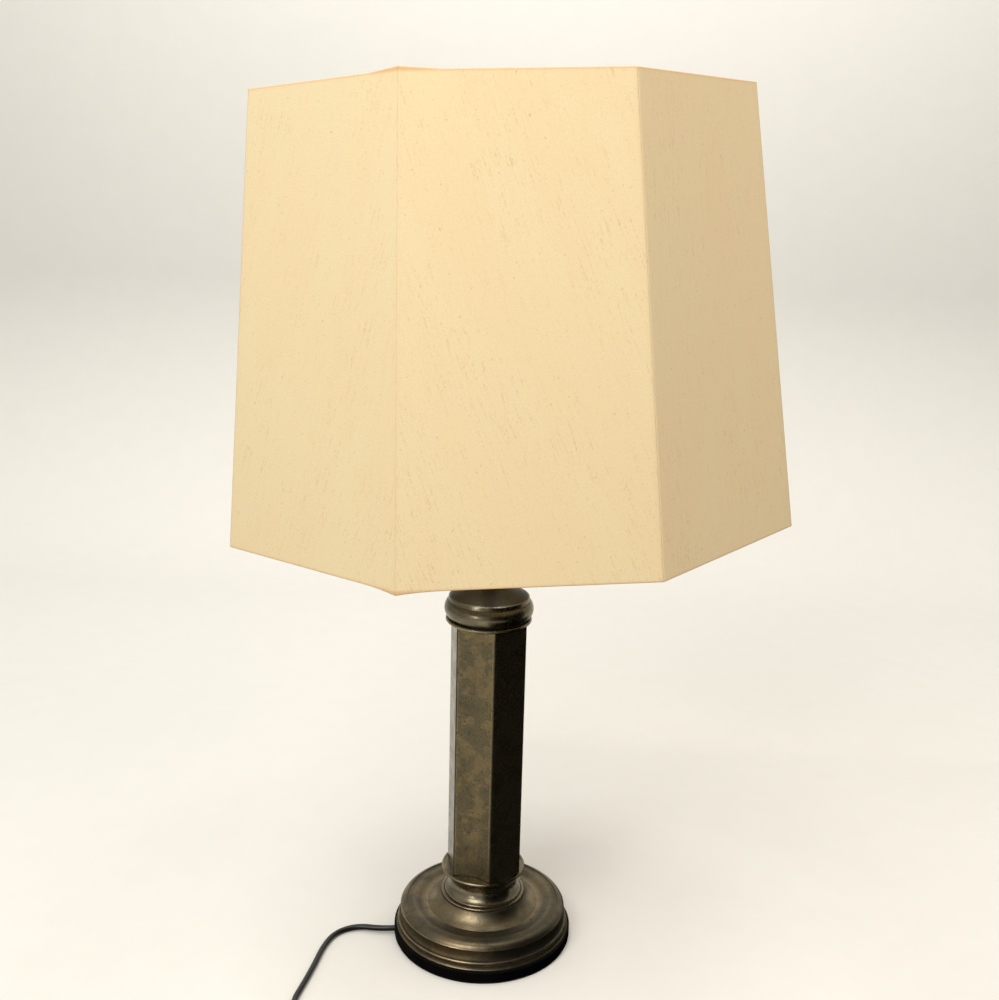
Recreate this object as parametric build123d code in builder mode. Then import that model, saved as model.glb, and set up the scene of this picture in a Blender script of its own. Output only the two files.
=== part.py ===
"""Table lamp: a six-sided column on a spun round base, with an eight-sided fabric shade on a harp.

Millimetres. The origin is the centre of the felt's underside, +Z is up, the front is -Y and the
flex leaves the base on the left, towards -X. The shade hangs from its spider on a swivel stud at
the top of the harp, and leans a little on that seat, as it was found.
"""

import os
from math import cos, dist, pi, radians, sin, sqrt, tan

from build123d import *

os.makedirs("parts", exist_ok=True)

# Fits and clearances
THREAD_PLAY = 0.05
HOLE_PLAY = 0.2
SEAT_GAP = 0.3
FLEX_PLAY = 0.1

# Felt, plinth ring and cast weight
PLINTH_RADIUS = 80.0
PLINTH_HEIGHT = 9.9
PLINTH_WIDTH = 20.0
PLINTH_EDGE = 1.0
LEDGE_HEIGHT = 4.6
LEDGE_WIDTH = 8.0
FELT_THICKNESS = 1.2
FELT_INSET = 1.0
WEIGHT_RISE = 15.3
WEIGHT_WEB = 4.0
NUT_POCKET_RADIUS = 13.0
CHANNEL_PLAY = 1.0

# Spun base shell, from its lip to the flat top of its cone
BASE_WALL = 1.4
LIP_INSET = 2.0
LIP_HEIGHT = 1.4
LIP_ROUND = 0.4
COVE_STEP = 1.0
COVE_HEIGHT = 3.4
COVE_HOLLOW = 0.5
BEAD_STEP = 2.0
BEAD_HEIGHT = 2.4
WALL_STEP = 1.5
WALL_HOLLOW = 1.0
ARRIS_HEIGHT = 17.5
SHOULDER_WIDTH = 6.2
SHOULDER_RISE = 4.5
SHOULDER_BULGE = 1.0
BAND_WIDTH = 6.1
BAND_STEP = 0.6
DISH_WIDTH = 12.3
DISH_DEPTH = 2.1
DISH_HOLLOW = 0.8
CONE_RISE = 10.8
CONE_HOLLOW = 1.5

# Collar ring and neck cup
COLLAR_RADIUS = 37.5
COLLAR_HEIGHT = 2.2
CUP_FOOT_RADIUS = 34.0
CUP_FOOT_HEIGHT = 1.5
CUP_WAIST_RADIUS = 27.8
CUP_HEIGHT = 24.4
CUP_RECESS = 0.8
CUP_LIP = 1.4
CUP_PLAY = 0.7
CUP_RIM_HEIGHT = 2.6
CUP_RIM_STEP = 0.4
CUP_WALL = 3.0

# Six-sided column
COLUMN_FLATS = 60.0
COLUMN_HEIGHT = 234.0
COLUMN_WALL = 1.5
COLUMN_EDGE = 0.8
COLUMN_TURN = 13.3
LOCATOR_HEIGHT = 4.0

# Threaded tube through the whole stem, with its nut and washer
ROD_RADIUS = 5.0
ROD_BORE = 3.4
ROD_STICKOUT = 0.6
NUT_FLATS = 14.0
NUT_HEIGHT = 5.0
WASHER_RADIUS = 12.0
WASHER_HEIGHT = 1.2

# Column cap
TOP_RING_RADIUS = 37.0
TOP_RING_HEIGHT = 3.2
CAP_GROOVE_DEPTH = 4.7
CAP_GROOVE_HEIGHT = 1.2
CAP_ROUND_RADIUS = 38.3
CAP_ROUND_HEIGHT = 14.4
CAP_ROUND_BULGE = 3.0
CAP_BAND_HEIGHT = 3.4
CAP_BAND_STEP = 0.8
CAP_CROWN_HEIGHT = 9.2
CAP_CROWN_BULGE = 1.0
CAP_CROWN_LAND = 1.0
CAP_WALL = 2.4

# Neck above the cap
NECK_NUT_RADIUS = 11.0
NECK_NUT_HEIGHT = 5.0
NECK_RADIUS = 8.0
NECK_HEIGHT = 50.0

# Harp: saddle, two legs with ferrules, and the crown that carries the swivel stud
SADDLE_THICKNESS = 2.5
SADDLE_RADIUS = 12.0
SADDLE_WIDTH = 11.0
SADDLE_REACH = 27.0
PEG_HEIGHT = 8.0
HARP_WIRE = 3.8
HARP_WIDTH = 108.0
HARP_HEIGHT = 290.6
HARP_SHOULDER = 90.0
HARP_NECK = 95.0
HARP_BEND = 20.0
HARP_TOP_BEND = 8.0
HARP_TOP_RUN = 14.0
FERRULE_WALL = 1.2
FERRULE_LENGTH = 14.0
FERRULE_TRAVEL = 14.0
CROWN_LENGTH = 18.0
CROWN_WIDTH = 12.0
CROWN_HEIGHT = 6.0

# Swivel stud and finial
STUD_RADIUS = 3.1
STUD_HEAD_RADIUS = 5.5
STUD_HEAD_HEIGHT = 1.6
STUD_FLANGE_RADIUS = 7.0
STUD_FLANGE_HEIGHT = 2.0
STUD_THREAD = 14.0
BUSH_HEIGHT = 8.0
KNOB_RADIUS = 9.0
KNOB_STEM_RADIUS = 5.0
KNOB_STEM_HEIGHT = 3.5

# Lamp holder
HOLDER_RADIUS = 20.5
HOLDER_WALL = 1.2
HOLDER_RIM = 3.6
HOLDER_NECK_HEIGHT = 4.0
HOLDER_CAP_HEIGHT = 15.0
HOLDER_SHELL_HEIGHT = 34.0
HOLDER_LIP = 1.2
CORE_HEIGHT = 11.0
SCREW_SHELL_RADIUS = 13.5
SCREW_SHELL_WALL = 0.8
SCREW_SHELL_HEIGHT = 22.0
CONTACT_WIDTH = 6.0
CONTACT_HEIGHT = 4.0
CONTACT_THICKNESS = 0.6
TERMINAL_HEAD = 1.6
TERMINAL_SHANK = 1.1
TERMINAL_DEPTH = 6.0

# Bulb
BULB_RADIUS = 30.0
BULB_HEIGHT = 104.0
BULB_WALL = 0.8
BULB_CAP_LENGTH = 24.0
BULB_CAP_WALL = 0.5
BULB_TIP_RADIUS = 4.6
BULB_TIP_HEIGHT = 3.0
BULB_WAIST_ANGLE = 35.0

# Shade
SHADE_SIDES = 8
SHADE_BOTTOM_RADIUS = 233.5
SHADE_TOP_RADIUS = 196.0
SHADE_HEIGHT = 328.2
SHADE_DROP = 290.0
SHADE_TURN = 7.2
SHADE_LEAN = 2.5
SHADE_LEAN_PLAY = 3.0
SHADE_WALL = 1.2
SHADE_SEAM = 0.2
RING_WIRE = 3.6
RING_INSET = 3.0
RING_CORNER = 6.0
STRUT_WIRE = 3.0
SPIDER_ARMS = 4
ARM_WIRE = 3.6
ARM_BEND = 30.0
ARM_RISE_WIDTH = 45.0
HUB_RADIUS = 12.0
HUB_HEIGHT = 2.0
HUB_PLAY = 1.0

# Flex
FLEX = 5.0
FLEX_HEIGHT = 5.4
FLEX_ANGLE = 190.0
BUSHING_WALL = 0.8
FLOOR_GAP = 0.1

# Inline switch
SWITCH_LENGTH = 62.0
SWITCH_WIDTH = 27.0
SWITCH_HEIGHT = 15.0
SWITCH_EDGE = 3.0
SWITCH_START_X = -100.0
SWITCH_SEAT = 5.0
ROCKER_LENGTH = 21.0
ROCKER_WIDTH = 11.0
ROCKER_END_HEIGHT = 4.0
ROCKER_DIP = 1.4
ROCKER_KEEL = 2.5
ROCKER_PIVOT_DEPTH = 2.4
ROCKER_TILT = 8.0
ROCKER_PIN = 1.2
ROCKER_PIN_LENGTH = 2.5
ROCKER_GAP = 1.0
SWITCH_SCREW = 1.4
SWITCH_SCREW_DEPTH = 4.0
SWITCH_HEAD_DEPTH = 2.4
SWITCH_SCREW_HEAD = 2.6
SWITCH_SCREW_SPREAD = 17.0
SWITCH_SCREW_OFFSET = 8.6

# Coil of spare flex, its tie and the plug
COIL_INNER_RADIUS = 19.6
COIL_PITCH = 5.75
COIL_TURNS_IN = 4
COIL_TURNS_CLIMB = 0.5
COIL_TURNS_OUT = 3.5
COIL_DIP = 0.8
COIL_CENTRE_X = 30.0
FLEX_ROW_Y = -148.0
TIE_WALL = 1.0
TIE_WIDTH = 8.0
TIE_GAP = 0.8
TIE_CORNER = 2.5
PLUG_LENGTH = 36.0
PLUG_WIDTH = 30.0
PLUG_HEIGHT = 13.7
PLUG_EDGE = 3.0
PLUG_WAIST = 14.0
PLUG_FLARE = 14.0
PLUG_TAIL = 24.0
PLUG_TAIL_RADIUS = 3.6
PLUG_SOCKET = 6.0
PLUG_START_X = 92.0
PIN_RADIUS = 2.0
PIN_LENGTH = 19.0
PIN_SPACING = 18.6
PIN_DEPTH = 8.0
PIN_ROOT_RADIUS = 1.6


def write(piece, name):
    """Label a finished piece and write it to its own file."""
    piece.part.label = name
    export_step(piece.part, f"parts/{name}.step")


# Heights of the stack, each from the one below it
plinth_bottom = FELT_THICKNESS
plinth_top = plinth_bottom + PLINTH_HEIGHT
ledge_z = plinth_bottom + LEDGE_HEIGHT
plinth_inner = PLINTH_RADIUS - PLINTH_WIDTH
ledge_radius = plinth_inner + LEDGE_WIDTH
weight_bottom = FELT_THICKNESS + SEAT_GAP
weight_top = plinth_top + WEIGHT_RISE
pocket_top = weight_top - WEIGHT_WEB
nut_bottom = pocket_top - WASHER_HEIGHT - NUT_HEIGHT
rod_bottom = nut_bottom - ROD_STICKOUT
arris_z = plinth_top + ARRIS_HEIGHT
shoulder_z = arris_z + SHOULDER_RISE
dish_z = shoulder_z - DISH_DEPTH
base_top = dish_z + CONE_RISE
cup_bottom = base_top + COLLAR_HEIGHT
cup_top = cup_bottom + CUP_HEIGHT
column_bottom = cup_top - CUP_RECESS
column_top = column_bottom + COLUMN_HEIGHT
cap_bottom = column_top + TOP_RING_HEIGHT
cap_round_z = cap_bottom + CAP_GROOVE_HEIGHT
cap_band_z = cap_round_z + CAP_ROUND_HEIGHT
cap_crown_z = cap_band_z + CAP_BAND_HEIGHT
cap_top = cap_crown_z + CAP_CROWN_HEIGHT
neck_bottom = cap_top + NECK_NUT_HEIGHT
saddle_bottom = neck_bottom + NECK_HEIGHT
saddle_top = saddle_bottom + SADDLE_THICKNESS
rod_top = saddle_top + HOLDER_NECK_HEIGHT + SEAT_GAP
holder_rim_z = saddle_top + HOLDER_CAP_HEIGHT
core_top = holder_rim_z + CORE_HEIGHT
contact_top = core_top + CONTACT_HEIGHT
bulb_bottom = contact_top + SEAT_GAP
crown_bottom = saddle_top + HARP_HEIGHT
crown_top = crown_bottom + CROWN_HEIGHT
flange_top = crown_top + SEAT_GAP + STUD_FLANGE_HEIGHT
lean_room = HOLE_PLAY + STUD_FLANGE_RADIUS * sin(radians(SHADE_LEAN_PLAY))
hub_z = flange_top + lean_room + HUB_HEIGHT / 2
bush_bottom = hub_z + HUB_HEIGHT / 2 + lean_room
knob_bottom = bush_bottom + BUSH_HEIGHT
stud_top = bush_bottom + STUD_THREAD

# Radii that follow from the pieces they fit
lip_radius = PLINTH_RADIUS - LIP_INSET
bead_radius = lip_radius - BEAD_STEP
arris_radius = bead_radius - WALL_STEP
shoulder_radius = arris_radius - SHOULDER_WIDTH
band_radius = shoulder_radius - BAND_WIDTH
dish_radius = band_radius - DISH_WIDTH
column_corner = COLUMN_FLATS / 2 / cos(pi / 6)
cup_recess_radius = column_corner + CUP_PLAY
cup_rim_radius = cup_recess_radius + CUP_LIP
rod_hole = ROD_RADIUS + HOLE_PLAY
rod_thread = ROD_RADIUS + THREAD_PLAY
flex_radius = FLEX / 2
flex_bore = flex_radius + FLEX_PLAY
bushing_radius = flex_bore + BUSHING_WALL

# The flex leaves the plinth ring square to it: this plane stands on the ring there
flex_out = Vector(1, 0, 0).rotate(Axis.Z, FLEX_ANGLE)
exit_plane = Plane(origin=flex_out * PLINTH_RADIUS + Vector(0, 0, FLEX_HEIGHT), z_dir=flex_out)

# Felt pad
with BuildPart() as felt_pad:
    with BuildSketch():
        Circle(PLINTH_RADIUS - FELT_INSET)
    extrude(amount=FELT_THICKNESS)
write(felt_pad, "felt_pad")

# Black plinth ring, rebated underneath for the weight's flange
with BuildPart() as plinth_ring:
    with BuildSketch(Plane.XY.offset(plinth_bottom)):
        Circle(PLINTH_RADIUS)
        Circle(plinth_inner, mode=Mode.SUBTRACT)
    extrude(amount=PLINTH_HEIGHT)
    fillet(plinth_ring.edges().group_by(SortBy.LENGTH)[-1], PLINTH_EDGE)
    with BuildSketch(Plane.XY.offset(plinth_bottom)):
        Circle(ledge_radius)
    extrude(amount=LEDGE_HEIGHT, mode=Mode.SUBTRACT)
    with BuildSketch(exit_plane):
        Circle(bushing_radius + THREAD_PLAY)
    extrude(amount=-2 * PLINTH_WIDTH, mode=Mode.SUBTRACT)
write(plinth_ring, "plinth_ring")

# Bushing that lines the flex hole, flush with the ring
with BuildPart() as flex_bushing:
    with BuildSketch(exit_plane):
        Circle(bushing_radius)
        Circle(flex_bore, mode=Mode.SUBTRACT)
    extrude(amount=-(PLINTH_WIDTH - LEDGE_WIDTH))
write(flex_bushing, "flex_bushing")

# Cast iron weight: its flange catches under the ring's ledge, and a channel lets the flex in
with BuildPart() as cast_weight:
    with BuildSketch(Plane.XY.offset(weight_bottom)):
        Circle(ledge_radius - HOLE_PLAY)
    extrude(amount=ledge_z - weight_bottom)
    with BuildSketch(Plane.XY.offset(ledge_z)):
        Circle(plinth_inner - HOLE_PLAY)
    extrude(amount=weight_top - ledge_z)
    with BuildSketch(Plane.XY.offset(weight_bottom)):
        Circle(NUT_POCKET_RADIUS)
    extrude(amount=pocket_top - weight_bottom, mode=Mode.SUBTRACT)
    with BuildSketch(Plane.XY.offset(weight_bottom)):
        with Locations(flex_out * (PLINTH_RADIUS / 2)):
            Rectangle(PLINTH_RADIUS, FLEX + 2 * CHANNEL_PLAY, rotation=FLEX_ANGLE)
    extrude(amount=FLEX_HEIGHT + flex_radius + CHANNEL_PLAY - weight_bottom, mode=Mode.SUBTRACT)
    with Locations((0, 0, weight_top)):
        Hole(rod_hole)
write(cast_weight, "cast_weight")

# Spun base shell: one outline turned about the axis, then hollowed from below
with BuildPart() as base_shell:
    with BuildSketch(Plane.XZ):
        with BuildLine():
            lip_top = plinth_top + LIP_HEIGHT
            cove_top = lip_top + COVE_HEIGHT
            bead_top = cove_top + BEAD_HEIGHT
            cove_radius = lip_radius - COVE_STEP
            cone_top_radius = COLLAR_RADIUS + SEAT_GAP
            Line((0, plinth_top), (lip_radius, plinth_top))
            Line((lip_radius, plinth_top), (lip_radius, lip_top - LIP_ROUND))
            Line((lip_radius, lip_top - LIP_ROUND), (lip_radius - LIP_ROUND, lip_top))
            SagittaArc((lip_radius - LIP_ROUND, lip_top), (cove_radius, cove_top), COVE_HOLLOW)
            Line((cove_radius, cove_top), (bead_radius, cove_top))
            SagittaArc((bead_radius, cove_top), (bead_radius, bead_top), -BEAD_HEIGHT / 3)
            Line((bead_radius, bead_top), (arris_radius, bead_top))
            SagittaArc((arris_radius, bead_top), (arris_radius, arris_z), WALL_HOLLOW)
            SagittaArc((arris_radius, arris_z), (shoulder_radius, shoulder_z), -SHOULDER_BULGE)
            Line((shoulder_radius, shoulder_z), (shoulder_radius, shoulder_z - BAND_STEP))
            Line((shoulder_radius, shoulder_z - BAND_STEP), (band_radius, shoulder_z))
            SagittaArc((band_radius, shoulder_z), (dish_radius, dish_z), DISH_HOLLOW)
            SagittaArc((dish_radius, dish_z), (cone_top_radius, base_top), CONE_HOLLOW)
            Line((cone_top_radius, base_top), (0, base_top))
            Line((0, base_top), (0, plinth_top))
        make_face()
    revolve(axis=Axis.Z)
    with BuildSketch(Plane.XZ):
        with BuildLine():
            hollow_radius = arris_radius - WALL_HOLLOW - BASE_WALL
            cone_inset = BASE_WALL + CONE_HOLLOW
            Polyline(
                (0, plinth_top),
                (hollow_radius, plinth_top),
                (hollow_radius, arris_z - BASE_WALL),
                (shoulder_radius - BASE_WALL, shoulder_z - BAND_STEP - BASE_WALL),
                (dish_radius, dish_z - DISH_HOLLOW - BASE_WALL),
                (dish_radius - cone_inset, dish_z - DISH_HOLLOW - BASE_WALL),
                (cone_top_radius - cone_inset, base_top - BASE_WALL),
                (0, base_top - BASE_WALL),
                close=True,
            )
        make_face()
    revolve(axis=Axis.Z, mode=Mode.SUBTRACT)
    with Locations((0, 0, base_top)):
        Hole(rod_hole)
write(base_shell, "base_shell")

# Washer and nut under the weight
with BuildPart() as rod_washer:
    with BuildSketch(Plane.XY.offset(pocket_top - WASHER_HEIGHT)):
        Circle(WASHER_RADIUS)
        Circle(rod_hole, mode=Mode.SUBTRACT)
    extrude(amount=WASHER_HEIGHT)
write(rod_washer, "rod_washer")

with BuildPart() as rod_nut:
    with BuildSketch(Plane.XY.offset(nut_bottom)):
        RegularPolygon(NUT_FLATS / 2, 6, major_radius=False)
        Circle(rod_thread, mode=Mode.SUBTRACT)
    extrude(amount=NUT_HEIGHT)
write(rod_nut, "rod_nut")

# Threaded tube that ties the stem together and carries the flex up to the holder
with BuildPart() as tie_rod:
    with BuildSketch(Plane.XY.offset(rod_bottom)):
        Circle(ROD_RADIUS)
        Circle(ROD_BORE, mode=Mode.SUBTRACT)
    extrude(amount=rod_top - rod_bottom)
write(tie_rod, "tie_rod")

# Collar ring with a rounded edge, between the base and the cup
with BuildPart() as collar_ring:
    with BuildSketch(Plane.XY.offset(base_top)):
        Circle(COLLAR_RADIUS)
        Circle(rod_hole, mode=Mode.SUBTRACT)
    extrude(amount=COLLAR_HEIGHT)
    fillet(collar_ring.edges().group_by(SortBy.LENGTH)[-1], 0.45 * COLLAR_HEIGHT)
write(collar_ring, "collar_ring")

# Neck cup: a waisted turning whose rim stands round the foot of the column
with BuildPart() as neck_cup:
    with BuildSketch(Plane.XZ):
        with BuildLine():
            foot_top = cup_bottom + CUP_FOOT_HEIGHT
            rim_bottom = cup_top - CUP_RIM_HEIGHT
            waist_z = foot_top + 0.42 * (rim_bottom - foot_top)
            neck_start = CUP_FOOT_RADIUS - CUP_FOOT_HEIGHT / 2
            Line((0, cup_bottom), (CUP_FOOT_RADIUS, cup_bottom))
            SagittaArc((CUP_FOOT_RADIUS, cup_bottom), (neck_start, foot_top), -CUP_FOOT_HEIGHT / 3)
            flare_radius = cup_rim_radius - CUP_RIM_STEP
            ThreePointArc((neck_start, foot_top), (CUP_WAIST_RADIUS, waist_z), (flare_radius, rim_bottom))
            Line((flare_radius, rim_bottom), (cup_rim_radius, rim_bottom))
            SagittaArc((cup_rim_radius, rim_bottom), (cup_rim_radius, cup_top), -CUP_RIM_HEIGHT / 4)
            Line((cup_rim_radius, cup_top), (cup_recess_radius, cup_top))
            Line((cup_recess_radius, cup_top), (cup_recess_radius, column_bottom))
            Line((cup_recess_radius, column_bottom), (0, column_bottom))
            Line((0, column_bottom), (0, cup_bottom))
        make_face()
    revolve(axis=Axis.Z)
    with BuildSketch(Plane.XY.offset(cup_bottom)):
        Circle(CUP_WAIST_RADIUS - CUP_WALL)
        Circle(rod_hole + CUP_WALL, mode=Mode.SUBTRACT)
    extrude(amount=column_bottom - cup_bottom - CUP_WALL, mode=Mode.SUBTRACT)
    with Locations((0, 0, column_bottom)):
        Hole(rod_hole)
write(neck_cup, "neck_cup")

# Hollow six-sided column with folded edges
with BuildPart() as hex_column:
    with BuildSketch(Plane.XY.offset(column_bottom)) as column_outline:
        RegularPolygon(column_corner, 6, rotation=COLUMN_TURN - 90)
        fillet(column_outline.vertices(), COLUMN_EDGE)
        offset(amount=-COLUMN_WALL, mode=Mode.SUBTRACT)
    extrude(amount=COLUMN_HEIGHT)
write(hex_column, "hex_column")

# Plates that centre the column's two ends on the tube
with BuildPart() as column_locators:
    locator_corner = column_corner - (COLUMN_WALL + HOLE_PLAY) / cos(pi / 6)
    with BuildSketch(Plane.XY.offset(column_bottom), Plane.XY.offset(column_top - LOCATOR_HEIGHT)):
        RegularPolygon(locator_corner, 6, rotation=COLUMN_TURN - 90)
        Circle(rod_hole, mode=Mode.SUBTRACT)
    extrude(amount=LOCATOR_HEIGHT)
write(column_locators, "column_locators")

# Thin ring that closes the column's top
with BuildPart() as top_ring:
    with BuildSketch(Plane.XY.offset(column_top)):
        Circle(TOP_RING_RADIUS)
        Circle(rod_hole, mode=Mode.SUBTRACT)
    extrude(amount=TOP_RING_HEIGHT)
    fillet(top_ring.edges().group_by(SortBy.LENGTH)[-1], 0.45 * TOP_RING_HEIGHT)
write(top_ring, "top_ring")

# Column cap: groove, round moulding, bevelled band and a low dome
with BuildPart() as column_cap:
    round_foot = CAP_ROUND_RADIUS - CAP_ROUND_BULGE
    groove_radius = CAP_ROUND_RADIUS - CAP_GROOVE_DEPTH
    band_top_radius = round_foot - CAP_BAND_STEP
    crown_flat = NECK_NUT_RADIUS + CAP_CROWN_LAND
    with BuildSketch(Plane.XZ):
        with BuildLine():
            Line((0, cap_bottom), (groove_radius, cap_bottom))
            Line((groove_radius, cap_bottom), (groove_radius, cap_round_z))
            Line((groove_radius, cap_round_z), (round_foot, cap_round_z))
            SagittaArc((round_foot, cap_round_z), (round_foot, cap_band_z), -CAP_ROUND_BULGE)
            Line((round_foot, cap_band_z), (band_top_radius, cap_crown_z))
            SagittaArc((band_top_radius, cap_crown_z), (crown_flat, cap_top), -CAP_CROWN_BULGE)
            Line((crown_flat, cap_top), (0, cap_top))
            Line((0, cap_top), (0, cap_bottom))
        make_face()
    revolve(axis=Axis.Z)
    with BuildSketch(Plane.XZ):
        with BuildLine():
            Polyline(
                (rod_hole + CAP_WALL, cap_bottom),
                (groove_radius - CAP_WALL, cap_bottom),
                (groove_radius - CAP_WALL, cap_band_z - CAP_WALL),
                (crown_flat, cap_top - CAP_WALL),
                (rod_hole + CAP_WALL, cap_top - CAP_WALL),
                close=True,
            )
        make_face()
    revolve(axis=Axis.Z, mode=Mode.SUBTRACT)
    with Locations((0, 0, cap_top)):
        Hole(rod_hole)
write(column_cap, "column_cap")

# Neck: a collar nut on the cap, and a sleeve over the tube
with BuildPart() as neck_nut:
    with BuildSketch(Plane.XY.offset(cap_top)):
        Circle(NECK_NUT_RADIUS)
        Circle(rod_thread, mode=Mode.SUBTRACT)
    extrude(amount=NECK_NUT_HEIGHT)
    chamfer(neck_nut.edges().group_by(SortBy.LENGTH)[-1], NECK_NUT_HEIGHT / 5)
write(neck_nut, "neck_nut")

with BuildPart() as neck_sleeve:
    with BuildSketch(Plane.XY.offset(neck_bottom)):
        Circle(NECK_RADIUS)
        Circle(rod_hole, mode=Mode.SUBTRACT)
    extrude(amount=NECK_HEIGHT)
write(neck_sleeve, "neck_sleeve")

# Harp saddle: a flat bar on the tube with an upright peg at each end
with BuildPart() as harp_saddle:
    with BuildSketch(Plane.XY.offset(saddle_bottom)):
        SlotCenterToCenter(2 * SADDLE_REACH, SADDLE_WIDTH)
        Circle(SADDLE_RADIUS)
        Circle(rod_hole, mode=Mode.SUBTRACT)
    extrude(amount=SADDLE_THICKNESS)
    with BuildSketch(Plane.XY.offset(saddle_top)):
        with Locations((-SADDLE_REACH, 0), (SADDLE_REACH, 0)):
            Circle(HARP_WIRE / 2)
    extrude(amount=PEG_HEIGHT)
write(harp_saddle, "harp_saddle")

# Harp legs: wire that stands on the pegs, bows round the bulb and turns in to the crown
leg_bottom = saddle_top + PEG_HEIGHT
leg_bend_z = saddle_top + SEAT_GAP + FERRULE_LENGTH + FERRULE_TRAVEL + HARP_BEND / 2
crown_mid_z = crown_bottom + CROWN_HEIGHT / 2
for side, name in ((-1, "harp_leg_left"), (1, "harp_leg_right")):
    with BuildPart() as harp_leg:
        with BuildLine(Plane.XZ) as leg_line:
            FilletPolyline(
                (side * SADDLE_REACH, leg_bottom),
                (side * SADDLE_REACH, leg_bend_z),
                (side * HARP_WIDTH / 2, saddle_top + HARP_SHOULDER),
                (side * HARP_WIDTH / 2, crown_mid_z - HARP_NECK),
                (side * (CROWN_LENGTH / 2 + HARP_TOP_RUN), crown_mid_z),
                (side * CROWN_LENGTH / 2, crown_mid_z),
                radius=(HARP_BEND, HARP_BEND, HARP_BEND, HARP_TOP_BEND),
            )
        with BuildSketch(Plane(leg_line.line @ 0, z_dir=leg_line.line % 0)):
            Circle(HARP_WIRE / 2)
        sweep()
    write(harp_leg, name)

    # Ferrule that slides down over the joint of leg and peg
    with BuildPart() as ferrule:
        with BuildSketch(Plane.XY.offset(saddle_top + SEAT_GAP)):
            with Locations((side * SADDLE_REACH, 0)):
                Circle(HARP_WIRE / 2 + SEAT_GAP + FERRULE_WALL)
                Circle(HARP_WIRE / 2 + SEAT_GAP, mode=Mode.SUBTRACT)
        extrude(amount=FERRULE_LENGTH)
    write(ferrule, name.replace("harp_leg", "ferrule"))

# Crown block between the two legs
with BuildPart() as harp_crown:
    with BuildSketch(Plane.XY.offset(crown_bottom)):
        Rectangle(CROWN_LENGTH, CROWN_WIDTH)
        Circle(STUD_RADIUS + THREAD_PLAY, mode=Mode.SUBTRACT)
    extrude(amount=CROWN_HEIGHT)
    fillet(harp_crown.faces().sort_by(Axis.Y)[0].edges().filter_by(Axis.X), CROWN_HEIGHT / 4)
    fillet(harp_crown.faces().sort_by(Axis.Y)[-1].edges().filter_by(Axis.X), CROWN_HEIGHT / 4)
write(harp_crown, "harp_crown")

# Swivel stud, riveted under the crown, with a seat flange and a thread for the finial
with BuildPart() as swivel_stud:
    head_top = crown_bottom - SEAT_GAP
    with BuildSketch(Plane.XY.offset(head_top - STUD_HEAD_HEIGHT)):
        Circle(STUD_HEAD_RADIUS)
    extrude(amount=STUD_HEAD_HEIGHT)
    with BuildSketch(Plane.XY.offset(head_top)):
        Circle(STUD_RADIUS)
    extrude(amount=stud_top - head_top)
    with BuildSketch(Plane.XY.offset(flange_top - STUD_FLANGE_HEIGHT)):
        Circle(STUD_FLANGE_RADIUS)
    extrude(amount=STUD_FLANGE_HEIGHT)
write(swivel_stud, "swivel_stud")

# Finial: a threaded bush and the knob on it
with BuildPart() as finial_bush:
    with BuildSketch(Plane.XY.offset(bush_bottom)):
        Circle(STUD_FLANGE_RADIUS)
        Circle(STUD_RADIUS + THREAD_PLAY, mode=Mode.SUBTRACT)
    extrude(amount=BUSH_HEIGHT)
write(finial_bush, "finial_bush")

with BuildPart() as finial_knob:
    ball_centre = knob_bottom + KNOB_STEM_HEIGHT + sqrt(KNOB_RADIUS**2 - KNOB_STEM_RADIUS**2)
    with BuildSketch(Plane.XZ):
        with BuildLine():
            Line((0, knob_bottom), (KNOB_STEM_RADIUS, knob_bottom))
            Line((KNOB_STEM_RADIUS, knob_bottom), (KNOB_STEM_RADIUS, knob_bottom + KNOB_STEM_HEIGHT))
            ThreePointArc(
                (KNOB_STEM_RADIUS, knob_bottom + KNOB_STEM_HEIGHT),
                (KNOB_RADIUS, ball_centre),
                (0, ball_centre + KNOB_RADIUS),
            )
            Line((0, ball_centre + KNOB_RADIUS), (0, knob_bottom))
        make_face()
    revolve(axis=Axis.Z)
    with BuildSketch(Plane.XY.offset(knob_bottom)):
        Circle(STUD_RADIUS + HOLE_PLAY)
    extrude(amount=stud_top - knob_bottom + SEAT_GAP, mode=Mode.SUBTRACT)
write(finial_knob, "finial_knob")

# Lamp holder: domed cap on the tube, shell, porcelain core, screw shell and spring contact
with BuildPart() as holder_cap:
    neck_top = saddle_top + HOLDER_NECK_HEIGHT
    skirt_z = holder_rim_z - HOLDER_RIM
    with BuildSketch(Plane.XZ):
        with BuildLine():
            Line((0, saddle_top), (NECK_RADIUS, saddle_top))
            Line((NECK_RADIUS, saddle_top), (NECK_RADIUS, neck_top))
            SagittaArc((NECK_RADIUS, neck_top), (HOLDER_RADIUS, skirt_z), -HOLDER_RIM / 2)
            Line((HOLDER_RADIUS, skirt_z), (HOLDER_RADIUS, holder_rim_z))
            Line((HOLDER_RADIUS, holder_rim_z), (0, holder_rim_z))
            Line((0, holder_rim_z), (0, saddle_top))
        make_face()
    revolve(axis=Axis.Z)
    with BuildSketch(Plane.XZ):
        with BuildLine():
            Polyline(
                (0, neck_top + SEAT_GAP),
                (NECK_RADIUS - HOLDER_WALL, neck_top + SEAT_GAP),
                (HOLDER_RADIUS - HOLDER_RIM, skirt_z),
                (HOLDER_RADIUS - HOLDER_RIM, holder_rim_z),
                (0, holder_rim_z),
                close=True,
            )
        make_face()
    revolve(axis=Axis.Z, mode=Mode.SUBTRACT)
    with Locations((0, 0, holder_rim_z)):
        Hole(rod_thread)
write(holder_cap, "holder_cap")

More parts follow.
